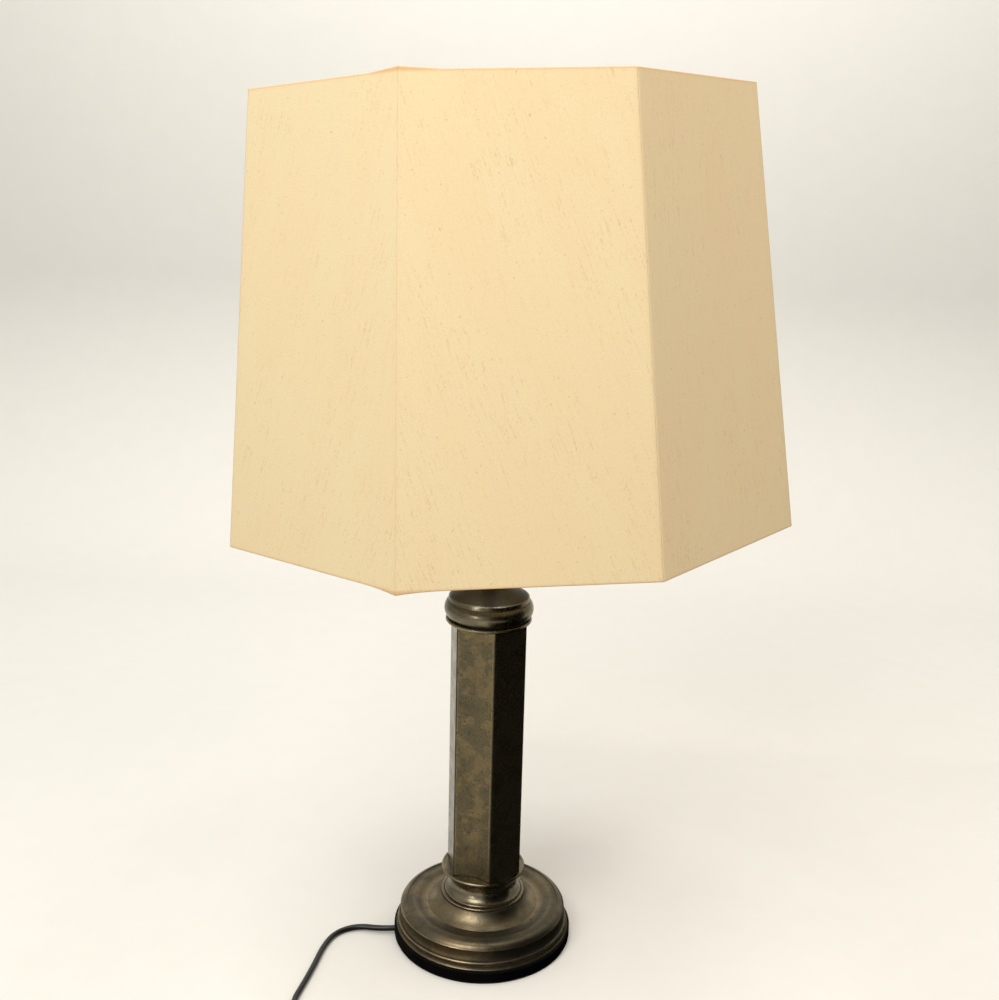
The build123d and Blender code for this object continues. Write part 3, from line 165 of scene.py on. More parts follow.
# %% Finishes
class Finish:
    """A material, or the world, whose nodes are added by formula."""

    def __init__(self, name, owner=None):
        self.material = owner or bpy.data.materials.new(name)
        self.material.use_nodes = True
        self.tree = self.material.node_tree
        self.tree.nodes.clear()

    def node(self, kind, options=None, values=None, out=0):
        """One node: its options are set first, then its inputs get values or links."""
        made = self.tree.nodes.new(kind)
        for key, value in (options or {}).items():
            setattr(made, key, value)
        for key, value in (values or {}).items():
            if isinstance(value, Socket):
                self.tree.links.new(value.output, made.inputs[key])
            else:
                made.inputs[key].default_value = value
        return Socket(self, made.outputs[out]) if made.outputs else None

    def place(self):
        """The point's place on the object."""
        return self.node("ShaderNodeTexCoord", out="Object")

    def parts(self, vector):
        """The three numbers of a vector."""
        split = self.node("ShaderNodeSeparateXYZ", None, {0: vector})
        return [Socket(self, output) for output in split.output.node.outputs]

    def noise(self, vector, scale, detail=3.0, rough=0.5, twist=0.0):
        """Soft noise about a middle of 0.5, with so many cells to a metre."""
        values = {"Vector": vector, "Scale": scale, "Detail": detail}
        return self.node("ShaderNodeTexNoise", None, values | {"Roughness": rough, "Distortion": twist})

    def stretch(self, vector, scale):
        """A vector with each of its axes scaled."""
        return self.node("ShaderNodeMapping", None, {"Vector": vector, "Scale": scale})

    def blend(self, share, first, second):
        """A colour between two colours."""
        return self.node("ShaderNodeMix", {"data_type": "RGBA"}, {0: share, 6: first, 7: second}, out=2)

    def layered(self, colour, *layers):
        """A colour under layers, each a share and a tone, laid on one after the other."""
        for share, tone in layers:
            colour = self.blend(share, colour, tone)
        return colour

    def bump(self, height, strength, distance):
        """A normal that leans as a surface of this height would."""
        values = {"Height": height, "Strength": strength, "Distance": distance}
        return self.node("ShaderNodeBump", None, values)

    def surface(self, **values):
        """The principled shader; underscores in a name stand for spaces."""
        named = {key.replace("_", " "): value for key, value in values.items()}
        shader = self.node("ShaderNodeBsdfPrincipled", None, named)
        self.node("ShaderNodeOutputMaterial", None, {"Surface": shader})
        return self.material


def rgb(red, green, blue):
    """A colour from values of 0 to 255 as a screen shows them, turned into linear light."""
    share = np.array([red, green, blue]) / 255
    light = np.where(share <= 0.04045, share / 12.92, ((share + 0.055) / 1.055) ** 2.4)
    return (*[float(value) for value in light], 1.0)


# %% [markdown]
# ## Patinated brass
# The base, column and cap are brass that has gone olive and brown, in clouds with soft edges and a few
# stains. Hands have rubbed some arrises brighter, and dirt has stayed in the grooves. Light and shade
# are painted on in the same way: a broad ring of painted light over the base's upward cone, painted
# shade on the band round its dish, and painted shade with some dust on the cap's crown under the
# lampshade. A painted texture would need a UV map on each solid, so the clouds are noise on the
# object's own coordinates, which has no seams. The rings of wear, dirt, painted light and painted shade
# are each a radius, a height, a width, all in mm, and a strength: a point close to both the radius and
# the height takes that tone.

# %% Rings of wear, dirt, painted light and painted shade
# Rings that lighten: worn arrises and rims, and last a broad ring of painted light over the base's upward
# cone
WORN_AND_LIT_RINGS = (
    (78.0, 11.3, 1.0, 0.8), (77.0, 15.8, 0.8, 0.7), (76.6, 17.2, 1.2, 0.8), (74.4, 28.5, 0.8, 0.9),
    (62.2, 33.1, 0.6, 0.10), (50.0, 31.2, 1.4, 0.10), (37.4, 43.2, 0.9, 0.5), (33.8, 44.9, 0.8, 0.5),
    (37.3, 67.8, 1.1, 0.4), (37.0, 303.2, 1.1, 0.3), (34.9, 323.5, 0.7, 0.3), (44.0, 36.5, 8.0, 0.28),
)
# Rings that darken: grime in grooves, and last a broad ring of painted shade on the band round the base's
# dish
DIRTY_AND_SHADED_RINGS = (
    (77.2, 13.9, 1.9, 0.7), (76.1, 16.0, 0.8, 0.9), (74.9, 18.7, 1.2, 0.9), (68.3, 32.6, 1.5, 0.6),
    (57.0, 31.6, 6.5, 0.55), (38.0, 42.0, 1.2, 0.8), (34.9, 44.2, 1.2, 0.9), (33.6, 305.4, 1.6, 0.9),
    (35.4, 320.5, 0.9, 0.8), (66.0, 33.0, 6.5, 0.5),
)
RING_TALLNESS = 1.3
CROWN_RIM = 323.9
# How dark the cap's crown is painted: some dust, and the shade of the lampshade over it
CROWN_DUST_AND_SHADE = 0.85


def near_rings(reach, height, rings):
    """The strongest of several rings at a point: each is a product of two smooth bumps."""
    total = None
    for ring_reach, ring_height, width, strength in rings:
        across = reach.near(ring_reach * MM, width * MM)
        upright = height.near(ring_height * MM, RING_TALLNESS * width * MM)
        ring = across * upright * strength
        total = ring if total is None else total.math("MAXIMUM", ring)
    return total


print("rings", len(WORN_AND_LIT_RINGS), "rubbed,", len(DIRTY_AND_SHADED_RINGS), "dirty")

# %% Places of wear, dirt, painted light and painted shade
def ring_marks(finish, place):
    """Lighter by wear and painted light, darker by grime in grooves, painted shade and crown dust."""
    x, y, z = finish.parts(place)
    reach = (x * x + y * y).math("SQRT")
    patchy = 0.4 + finish.noise(place, 70.0).step(0.3, 0.7) * 0.6
    # Painted shade, with some dust, over the cap's crown under the lampshade
    crown_dust_and_shade = z.step(CROWN_RIM * MM, (CROWN_RIM + 1.0) * MM)
    worn_and_lit = near_rings(reach, z, WORN_AND_LIT_RINGS) * patchy
    dirt_and_shade = near_rings(reach, z, DIRTY_AND_SHADED_RINGS).math("MAXIMUM", crown_dust_and_shade * CROWN_DUST_AND_SHADE)
    return worn_and_lit, dirt_and_shade


def arris_marks(finish, place, patch, arris):
    """A rubbed line beside each dark arris of a six-sided column, by the angle in sixths of a turn."""
    x, y, _ = finish.parts(place)
    sixth = (y.math("ARCTAN2", x) - arris) * (3 / np.pi)
    fold = (sixth - sixth.math("ROUND")).math("ABSOLUTE")
    worn_and_lit = fold.near(0.045, 0.015) * patch * 0.25
    dirt_and_shade = (1.0 - fold.step(0.010, 0.030)) * 0.8
    return worn_and_lit, dirt_and_shade


# %% Patinated brass
def patinated_brass(name, cloud_scale, stain, polish, metal, warm, grey, arris=None):
    """Warm and grey patches of patina, with the marks of a turned piece or, given an arris, of a column.

    A stain of 1 gives the patches dark edges, and 0 gives none. Less metal means a duller skin of patina.
    """
    finish = Finish(name)
    place = finish.place()
    cloud = finish.noise(place, cloud_scale, detail=5.0, rough=0.62, twist=0.25)
    patch = cloud.step(0.44, 0.56)
    worn = finish.noise(place, cloud_scale * 0.6, detail=2.0).step(0.46, 0.60)
    tide_line = cloud.near(0.47, 0.022) * worn * stain
    mottle = finish.noise(place, cloud_scale * 3.6, detail=4.0, rough=0.65, twist=0.2).step(0.50, 0.66)
    drift = finish.noise(place, cloud_scale / 3, detail=2.0, twist=0.3).step(0.35, 0.68)
    smoke = finish.noise(place, cloud_scale * 0.8, rough=0.6, twist=0.4).step(0.48, 0.66) * stain
    specks = finish.noise(place, 900.0, detail=2.0, rough=0.6).step(0.56, 0.72)
    pale_specks = finish.noise(place, 760.0, detail=2.0, rough=0.6).step(0.60, 0.76)
    brushed = finish.noise(finish.stretch(place, (160.0, 160.0, 2200.0)), 1.0, detail=2.0)
    if arris is None:
        worn_and_lit, dirt_and_shade = ring_marks(finish, place)
    else:
        worn_and_lit, dirt_and_shade = arris_marks(finish, place, patch, arris)
    tarnish = (patch * 0.55 + mottle * 0.30 + drift * 0.15) * (1.0 - worn_and_lit)
    colour = finish.layered(
        finish.blend(tarnish, warm, grey),
        (smoke * 0.30, rgb(58, 56, 43)),
        (tide_line * 0.8, rgb(54, 52, 40)),
        # Grime in the grooves, and painted shade on the crown and on the base's band
        (dirt_and_shade * 0.85, rgb(26, 24, 18)),
        # Worn edges, and painted light on the base's cone
        (worn_and_lit * 0.8, rgb(206, 184, 146)),
        (specks * (0.2 + stain * 0.45), rgb(40, 36, 27)),
        (pale_specks * (0.1 + stain * 0.25), rgb(150, 138, 108)),
    )
    rough = polish + tarnish * 0.12 + tide_line * 0.06 + dirt_and_shade * 0.2 + specks * 0.1 - worn_and_lit * 0.05
    height = brushed * 0.12 + finish.noise(place, 45.0) * 0.5
    return finish.surface(
        Base_Color=colour,
        Metallic=metal - tarnish * 0.05 - dirt_and_shade * 0.3,
        Roughness=rough + (brushed - 0.5) * 0.05,
        Normal=finish.bump(height, 0.05, 0.002),
    )


# %% Brass of the base, the turned pieces and the column
COLUMN_ARRIS = np.radians(-76.7)


def paint(finish, *names):
    """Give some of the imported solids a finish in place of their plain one."""
    for name in names:
        nodes[name].data.materials.clear()
        nodes[name].data.materials.append(finish)
    print(finish.name, "on", len(names), "solids")


spun_brass = patinated_brass(
    "spun patinated brass", cloud_scale=26.0, stain=0.8, polish=0.32, metal=1.0,
    warm=rgb(120, 106, 82), grey=rgb(80, 79, 66),
)
turned_brass = patinated_brass(
    "turned patinated brass", cloud_scale=30.0, stain=0.1, polish=0.24, metal=1.0,
    warm=rgb(124, 115, 93), grey=rgb(98, 94, 79),
)
column_brass = patinated_brass(
    "patinated brass column", cloud_scale=75.0, stain=1.0, polish=0.22, metal=0.92,
    warm=rgb(113, 99, 72), grey=rgb(78, 75, 60), arris=COLUMN_ARRIS,
)
paint(spun_brass, "base_shell")
paint(turned_brass, "collar_ring", "neck_cup", "top_ring", "column_cap")
paint(column_brass, "hex_column")

# %% [markdown]
# ## Plain finishes
# The fittings are aged satin brass, zinc, cream enamel, porcelain, black moulding and glass. One flat
# colour would make them look like toys, so each is two close tones mixed by noise, at the scale of its
# own small marks: turning lines, casting grain, dust.

# %% Metals, enamel, porcelain and black pieces
def speckled(name, first, second, scale, rough, metal, **more):
    """Two close tones mixed by noise, with a roughness that follows the same noise."""
    finish = Finish(name)
    place = finish.place()
    cloud = finish.noise(place, scale, detail=4.0, rough=0.6)
    share = cloud.step(0.35, 0.65)
    grain = finish.noise(place, scale * 12, detail=2.0)
    return finish.surface(
        Base_Color=finish.blend(share, first, second),
        Metallic=metal,
        Roughness=rough + (cloud - 0.5) * 0.2,
        Normal=finish.bump(grain, 0.08, 0.0005),
        **more,
    )


# After the two tones come the cells of noise to a metre, the roughness, and how metallic it is
satin_brass = speckled("aged satin brass", rgb(176, 148, 92), rgb(140, 116, 72), 60.0, 0.34, 1.0)
zinc = speckled("zinc plate", rgb(170, 170, 168), rgb(140, 141, 142), 120.0, 0.38, 1.0)
enamel = speckled("cream enamel", rgb(226, 214, 186), rgb(206, 190, 158), 90.0, 0.42, 0.0)
iron = speckled("raw cast iron", rgb(64, 62, 60), rgb(44, 42, 41), 160.0, 0.72, 0.6)
porcelain = speckled("porcelain", rgb(236, 234, 226), rgb(224, 220, 210), 40.0, 0.16, 0.0)
bulb_metal = speckled("bulb cap metal", rgb(206, 206, 204), rgb(182, 182, 180), 150.0, 0.26, 1.0)
nickel = speckled("nickel plate", rgb(206, 200, 190), rgb(184, 178, 168), 140.0, 0.22, 1.0)
black_plastic = speckled("black moulding", rgb(20, 20, 21), rgb(13, 13, 14), 300.0, 0.36, 0.0)
black_ring = speckled("black ring", rgb(6, 6, 6), rgb(3, 3, 3), 55.0, 0.6, 0.0, Specular_IOR_Level=0.06)
felt = speckled("black felt", rgb(26, 26, 26), rgb(12, 12, 12), 700.0, 0.95, 0.0)
print("materials so far", len(bpy.data.materials))

# %% Glass
glass = Finish("clear glass")
glass_dust = glass.noise(glass.place(), 60.0)
clear_glass = glass.surface(
    Base_Color=(0.96, 0.97, 0.96, 1.0),
    Roughness=0.02 + glass_dust * 0.04,
    IOR=1.5,
    Transmission_Weight=1.0,
)
print("glass nodes", len(glass.tree.nodes))

# %% Put the plain finishes on
paint(satin_brass, "neck_nut", "neck_sleeve", "harp_saddle", "harp_leg_left", "harp_leg_right",
      "harp_crown", "swivel_stud", "finial_bush", "finial_knob", "holder_cap", "holder_shell",
      "screw_shell", "centre_contact", "terminal_screws", "bulb_contact")
paint(zinc, "rod_washer", "rod_nut", "tie_rod", "column_locators", "switch_screws")
paint(enamel, "shade_top_wire", "shade_bottom_wire", "corner_struts", "spider_hub", "spider_arms")
paint(iron, "cast_weight")
paint(porcelain, "holder_core")
paint(nickel, "plug_pins")
paint(black_plastic, "switch_base", "switch_cover", "switch_rocker", "plug_body", "flex_bushing",
      "coil_tie")
paint(black_ring, "plinth_ring")
paint(felt, "felt_pad")
paint(clear_glass, "bulb_glass")

# %% [markdown]
# ## Flex
# The flex is round, black and glossy, 5 mm thick and about 1.9 m long. It leaves the base on the left,
# bends round and runs to the front, where the unseen rest has a switch, a tied coil and a plug. Straight
# tubes with rounded joints would look like bent wire, so one NURBS spline follows the whole route, which
# bends as a cord does. The route's points are in mm.

# %% Flex route
FLEX = 5.0
FLEX_EXIT = (-78.785, -13.892, 5.4)
FLEX_ROW_Y = -148.0
ON_FLOOR = 2.6
AT_SWITCH = 7.5
AT_PLUG = 6.85
COIL_CENTRE = (30.0, -190.6)
COIL_INNER = 19.6
COIL_PITCH = 5.75
COIL_LOW = 3.8
COIL_TUCK = 3.2
COIL_TURNS_IN = 4.0
COIL_TURNS_CLIMB = 0.5
COIL_TURNS_OUT = 3.5
POINTS_A_TURN = 16

run_to_switch = np.array([
    FLEX_EXIT, (-90.603, -15.976, 5.4), (-113.5, -10.8, 3.4), (-131.8, -21.6, ON_FLOOR),
    (-138.6, -43.2, ON_FLOOR), (-141.0, -70.0, ON_FLOOR), (-144.6, -96.0, ON_FLOOR),
    (-148.8, -121.0, ON_FLOOR), (-139.7, -138.8, ON_FLOOR), (-122.9, -147.7, 4.4),
    (-106.0, FLEX_ROW_Y, AT_SWITCH), (-95.0, FLEX_ROW_Y, AT_SWITCH),
])
run_to_coil = np.array([
    (-43.0, FLEX_ROW_Y, AT_SWITCH), (-23.0, FLEX_ROW_Y, AT_SWITCH), (3.0, FLEX_ROW_Y, COIL_LOW),
    (25.0, FLEX_ROW_Y, COIL_LOW),
])


def coil_route(turns):
    """A flat spiral in, a half turn that climbs one layer, and a flat spiral out, clockwise from +Y.

    The climb follows 3t^2 - 2t^3, which starts and ends level, and it tucks in by a share of t(1 - t).
    """
    climb = np.clip((turns - COIL_TURNS_IN) / COIL_TURNS_CLIMB, 0, 1)
    inward = np.clip(COIL_TURNS_IN - turns, 0, None)
    outward = np.clip(turns - COIL_TURNS_IN - COIL_TURNS_CLIMB, 0, None)
    reach = COIL_INNER + COIL_PITCH * (inward + outward) - COIL_TUCK * climb * (1 - climb)
    height = COIL_LOW + COIL_PITCH * (3 * climb**2 - 2 * climb**3)
    angle = 2 * np.pi * turns
    x = COIL_CENTRE[0] + reach * np.sin(angle)
    y = COIL_CENTRE[1] + reach * np.cos(angle)
    return np.stack([x, y, height], -1)


coil_turns = COIL_TURNS_IN + COIL_TURNS_CLIMB + COIL_TURNS_OUT
coil_points = coil_route(np.linspace(0, coil_turns, int(coil_turns * POINTS_A_TURN) + 1))
coil_end = coil_points[-1]
run_to_plug = np.array([
    (35.0, coil_end[1], coil_end[2]), (55.5, coil_end[1], coil_end[2]), (77.5, FLEX_ROW_Y, AT_PLUG),
    (98.0, FLEX_ROW_Y, AT_PLUG),
])
route = np.concatenate([run_to_switch, run_to_coil, coil_points, run_to_plug]) * MM
print("route points", len(route))

# %% Flex curve
def round_curve(name, points, radius, material):
    """A NURBS spline with a round section, whose control points are an array of points."""
    curve = bpy.data.curves.new(name, "CURVE")
    curve.dimensions = "3D"
    spline = curve.splines.new("NURBS")
    spline.points.add(len(points) - 1)
    spline.points.foreach_set("co", np.c_[points, np.ones(len(points))].reshape(-1))
    spline.order_u = 3
    spline.use_endpoint_u = True
    spline.resolution_u = 6
    curve.bevel_depth = radius
    curve.bevel_resolution = 5
    curve.use_fill_caps = True
    curve.materials.append(material)
    piece = bpy.data.objects.new(name, curve)
    bpy.context.scene.collection.objects.link(piece)
    return piece


flex_finish = Finish("black flex")
flex_place = flex_finish.place()
flex_scuff = flex_finish.noise(flex_place, 180.0)
flex_black = flex_finish.surface(
    Base_Color=flex_finish.blend(flex_scuff.step(0.55, 0.8), rgb(14, 14, 15), rgb(32, 31, 30)),
    Roughness=0.28 + flex_scuff * 0.12,
    Normal=flex_finish.bump(flex_finish.noise(flex_place, 90.0, detail=2.0), 0.05, 0.001),
)
paint(flex_black, "inner_flex")
flex = round_curve("flex", route, FLEX / 2 * MM, flex_black)
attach(flex, "lamp")
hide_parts("flex_run_1", "flex_run_2", "flex_run_3", "flex_coil")

# %% The flex and its pieces, kept out of reflections
ON_FLEX = (
    "coil_tie", "switch_base", "switch_cover", "switch_rocker", "switch_screws", "plug_body", "plug_pins",
)
# The coil lies in front of the lamp, where the polished base would show it as dark streaks
for piece in [flex] + [nodes[name] for name in ON_FLEX]:
    piece.visible_glossy = False
print("pieces on the flex", len(ON_FLEX))

# %% [markdown]
# ## Shade fabric
# Eight panels of cream slub fabric are stretched over the wires, with a rolled edge at top and bottom. A
# cloth simulation would add folds that tight fabric doesn't have, so the panels are made by formula. A
# panel is a closed loop in its upright section (up the outside, over the rolled edge, down the lining)
# carried across its width. Each end turns through half of the corner, round a small radius, so two
# panels meet in a fold. At the seam, on the front left corner, the lapped edges stand a little proud.

# %% Shade sizes, in mm and degrees
SHADE_SIDES = 8
SHADE_BOTTOM_RADIUS = 233.5
SHADE_TOP_RADIUS = 196.0
SHADE_HEIGHT = 328.2
SHADE_DROP = 290.0
SHADE_TURN = 7.2
SHADE_LEAN = 2.5
HUB_Z = 690.966
PANEL_WALL = 1.2
PANEL_BOW = 0.7
FOLD_RADIUS = 4.0
FOLD_MARK = 3.0
HEM_SHADE_WIDTH = 1.8
SEAM_LAP = 27.0
SEAM_RISE = 2.0
SEAM_SHARPNESS = 80
HALF_TURN = np.pi / SHADE_SIDES
HALF_TOP_WIDTH = SHADE_TOP_RADIUS * np.sin(HALF_TURN)
HALF_BOTTOM_WIDTH = SHADE_BOTTOM_RADIUS * np.sin(HALF_TURN)
print("panel width at the top", round(2 * HALF_TOP_WIDTH, 1), "and foot", round(2 * HALF_BOTTOM_WIDTH, 1))

# %% Panel surface
ACROSS = 49
UPWARD = 57
ROLL = 7


def shade_to_lamp(points):
    """Points on the level shade, in mm about its hub, leaned to the left, on the lamp and in metres."""
    lean = np.radians(SHADE_LEAN)
    x = points[..., 0] * np.cos(lean) - points[..., 2] * np.sin(lean)
    z = points[..., 0] * np.sin(lean) + points[..., 2] * np.cos(lean) + HUB_Z
    return np.stack([x, points[..., 1], z], -1) * MM


def panel_points(share, height, depth, turn):
    """A panel's point: share -1 to 1 across, height over the bottom, depth in from the outside.

    The section is a straight line that ends in arcs of the fold's radius, each turning 22.5 degrees.
    """
    corner = SHADE_BOTTOM_RADIUS + (SHADE_TOP_RADIUS - SHADE_BOTTOM_RADIUS) * height / SHADE_HEIGHT
    straight = corner * np.sin(HALF_TURN) - FOLD_RADIUS * np.tan(HALF_TURN)
    run = np.abs(share) * (straight + FOLD_RADIUS * HALF_TURN)
    bend = np.clip(run - straight, 0, None) / FOLD_RADIUS
    fold = FOLD_RADIUS - depth
    across = np.sign(share) * (np.minimum(run, straight) + fold * np.sin(bend))
    outward = corner * np.cos(HALF_TURN) - depth - fold * (1 - np.cos(bend))
    angle = np.radians(SHADE_TURN - 90) + turn * 2 * HALF_TURN
    x = outward * np.cos(angle) - across * np.sin(angle)
    y = outward * np.sin(angle) + across * np.cos(angle)
    return np.stack([x, y, height - SHADE_DROP + 0 * share], -1)


def upright_section():
    """Heights and depths of the loop: up the outside, over the top edge, down the lining and round again.

    The rows follow half a cosine wave, which crowds them towards both edges.
    """
    half = PANEL_WALL / 2
    climb = half + (SHADE_HEIGHT - PANEL_WALL) * (0.5 - 0.5 * np.cos(np.linspace(0, np.pi, UPWARD)))
    swing = np.linspace(0, np.pi, ROLL + 2)[1:-1]
    top_roll = (SHADE_HEIGHT - half + half * np.sin(swing), half - half * np.cos(swing))
    foot_roll = (half - half * np.sin(swing), half + half * np.cos(swing))
    heights = np.concatenate([climb, top_roll[0], climb[::-1], foot_roll[0]])
    depths = np.concatenate([0 * climb, top_roll[1], 0 * climb + PANEL_WALL, foot_roll[1]])
    return heights, depths


# %% One panel
# The weave's slubs run at a slant that differs from panel to panel, in degrees from upright
SLANTS = (20.0, 4.0, -8.0, 14.0, -16.0, 7.0, -10.0, -20.0)
WEAVE_SHIFT = 0.7
EDGE_CROWDING = 1.5


def seam_lift(share, rise, side):
    """How far a panel's edge lifts at the seam: most at the corner, and gone a lap's width from it."""
    from_corner = (1 + side * share) * HALF_TOP_WIDTH
    lift = np.clip(1 - from_corner / SEAM_LAP, 0, 1)
    return SEAM_RISE * (lift * rise**SEAM_SHARPNESS - lift**2 * (1 - rise) ** SEAM_SHARPNESS)


def make_panel(turn):
    """One panel as a closed shell, with slanted UVs in metres and marks for edge shade, folds and lining.
    """
    heights, depths = upright_section()
    share = np.linspace(-1, 1, ACROSS)[:, None]
    share = np.sign(share) * (1 - (1 - np.abs(share)) ** EDGE_CROWDING)
    height = heights[None, :] + 0 * share
    depth = depths[None, :] + 0 * share
    rise = height / SHADE_HEIGHT
    if turn in (0, SHADE_SIDES - 1):
        height = height + seam_lift(share, rise, 1 if turn == 0 else -1)
    bow = PANEL_BOW * np.cos(share * np.pi / 2) * np.sin(np.clip(rise, 0, 1) * np.pi)
    points = panel_points(share, height, depth + bow, turn)
    width = share * HALF_BOTTOM_WIDTH
    slant = np.radians(SLANTS[turn])
    uv = np.stack([width * np.cos(slant) + height * np.sin(slant),
                   height * np.cos(slant) - width * np.sin(slant)], -1) * MM + turn * WEAVE_SHIFT
    name = f"fabric_panel_{turn + 1}"
    panel = grid_mesh(name, shade_to_lamp(points), closed_v=True, uv=uv, flip=True, ends=True)
    edge = np.minimum(height, SHADE_HEIGHT - height)
    # Painted shade along the rolled top and bottom edges, partly the doubled cloth's deeper tone
    hem_shade = np.clip(1 - edge / HEM_SHADE_WIDTH, 0, 1)
    fold = np.clip(1 - (1 - np.abs(share)) * HALF_TOP_WIDTH / FOLD_MARK, 0, 1) + 0 * height
    for mark, values in (("hem_shade", hem_shade), ("fold", fold), ("lining", depth / PANEL_WALL)):
        layer = panel.data.attributes.new(mark, "FLOAT", "POINT")
        layer.data.foreach_set("value", values.reshape(-1).astype(np.float32))
    return panel


# %% [markdown]
# ### Slub weave
# The cloth is cream, with thick and thin yarns. Modelled yarns would be far too many faces, so long thin
# noise along the slanted UVs gives the slubs, broken up into dashes and crowded in places, a finer one
# the hairs, and small round spots the flecks. The rolled edges are a little darker: partly the doubled
# cloth, and partly painted shade along the roll.

# %% Yarns and marks
cloth = Finish("cream slub fabric")
cloth_uv = cloth.node("ShaderNodeTexCoord", out="UV")


def yarns(wide, long, low, high):
    """Strokes of one kind of yarn: noise with so many cells to a metre, across and along, over a level."""
    return cloth.noise(cloth.stretch(cloth_uv, (wide, long, 1.0)), 1.0, detail=2.0).step(low, high)


def panel_mark(name):
    """A mark that the panel's mesh carries."""
    return cloth.node("ShaderNodeAttribute", {"attribute_name": name}, out="Fac")


strokes = yarns(760.0, 44.0, 0.54, 0.69)
hairs = yarns(1300.0, 110.0, 0.58, 0.74)
cross_hairs = yarns(120.0, 1200.0, 0.62, 0.76)
broken = yarns(420.0, 420.0, 0.40, 0.62)
crowded = 0.35 + yarns(16.0, 9.0, 0.42, 0.60) * 0.65
dots = yarns(360.0, 360.0, 0.665, 0.755)
grain = yarns(900.0, 900.0, 0.30, 0.70)
pale = yarns(26.0, 7.0, 0.38, 0.62)
slub = strokes * broken * crowded
crinkle = cloth.noise(cloth.stretch(cloth_uv, (230.0, 150.0, 1.0)), 1.0, rough=0.6)

# %% Slub fabric
YARN_TONE = rgb(206, 168, 116)
cream = cloth.layered(
    cloth.blend(pale, rgb(241, 217, 171), rgb(240, 219, 173)),
    (grain * 0.30, rgb(226, 194, 144)),
    (slub * 0.42, rgb(208, 160, 108)),
    (hairs * crowded * 0.20, YARN_TONE),
    (cross_hairs * 0.14, YARN_TONE),
    (dots * 0.34, rgb(180, 134, 86)),
    # Darker rolled edges: painted shade, and the doubled cloth
    (panel_mark("hem_shade") * 0.7, rgb(216, 164, 104)),
    (panel_mark("fold") * 0.10, YARN_TONE),
    (panel_mark("lining").step(0.4, 0.6) * 0.8, rgb(240, 226, 196)),
)
cloth_finish = cloth.surface(
    Base_Color=cream,
    Roughness=0.86 - slub * 0.1,
    Sheen_Weight=0.15,
    Normal=cloth.bump(crinkle * 0.5 + slub * 0.3 + grain * 0.25, 0.30, 0.0006),
)
print("fabric nodes", len(cloth.tree.nodes))

# %% Stretch the fabric
for turn in range(SHADE_SIDES):
    panel = make_panel(turn)
    panel.data.materials.append(cloth_finish)
    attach(panel, "shade")
    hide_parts(f"shade_panel_{turn + 1}")
print("fabric panels", SHADE_SIDES)

# %% [markdown]
# ## Bulb and harp fittings
# The bulb is clear, so its inside shows, its cap has a rolled thread, and each ferrule of the harp is
# knurled for the fingers. Bump in a material would leave their outlines smooth, so they are real shapes:
# turned ones, with a radius for each angle and height, and wires carried along a path.

# %% Turned and drawn shapes
ROUND = 64
round_angle = np.linspace(0, 2 * np.pi, ROUND, endpoint=False)


def turned_piece(name, radius, height, centre=(0.0, 0.0), closed=False):
    """A turned surface: radius, which may change with the angle, and height for each row, in metres."""
    reach = radius + 0 * round_angle
    x = centre[0] + reach * np.cos(round_angle)
    y = centre[1] + reach * np.sin(round_angle)
    z = height[:, None] + 0 * round_angle
    return grid_mesh(name, np.stack([x, y, z], -1), closed_u=closed, closed_v=True, ends=not closed)


def wire_piece(name, path, radius, sides=8):
    """A round wire: a circle in the plane square to the path at each of its points."""
    along = np.gradient(path, axis=0)
    along /= np.linalg.norm(along, axis=1, keepdims=True)
    side = np.cross(along, (0.0, 1.0, 0.02))
    side /= np.linalg.norm(side, axis=1, keepdims=True)
    rise = np.cross(along, side)
    angle = np.linspace(0, 2 * np.pi, sides, endpoint=False)[None, :, None]
    ring = side[:, None] * np.cos(angle) + rise[:, None] * np.sin(angle)
    return grid_mesh(name, path[:, None] + radius * ring, closed_v=True, ends=True)


def dress(piece, body, slot, *finishes):
    """Give a piece its finishes and its body. The slot is not used."""
    for finish in finishes:
        piece.data.materials.append(finish)
    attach(piece, body)


# %% [markdown]
# ### Inside the bulb
# A glass stem carries two lead wires, and a coiled filament hangs between their ends. A curve with a
# round bevel could be a wire, but a mesh sets the number of its faces directly. The stem flares at its
# foot by a cube and rounds off at its tip, and a lead bends outwards by a power of its rise. The
# filament is a helix whose axis rises in half a sine wave from lead to lead.

# %% Bulb stem and leads, in mm
STEM_HEIGHT = 46.0
STEM_RADIUS = 2.6
STEM_FLARE = 5.4
STEM_GAP = 0.5
TIP_POWER = 24
TIP_LEAST = 0.0004
LEAD_ROOT = 4.0
LEAD_RISE = 14.0
LEAD_START = 1.6
LEAD_RADIUS = 0.35
LEAD_POWER = 1.6
FILAMENT_REACH = 11.0
CAP_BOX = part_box("bulb_cap")
tungsten = speckled("tungsten wire", rgb(120, 118, 114), rgb(90, 88, 86), 900.0, 0.3, 1.0)

stem_foot = CAP_BOX[1][2] + STEM_GAP * MM
share = np.linspace(0, 1, 40)
stem_tip = np.sqrt(np.clip(1 - share**TIP_POWER, TIP_LEAST, 1))
stem_radius = (STEM_RADIUS + STEM_FLARE * (1 - share) ** 3) * stem_tip * MM
stem = turned_piece("bulb_stem", stem_radius[:, None], stem_foot + share * STEM_HEIGHT * MM)
dress(stem, "bulb", "bulb_glass", clear_glass)

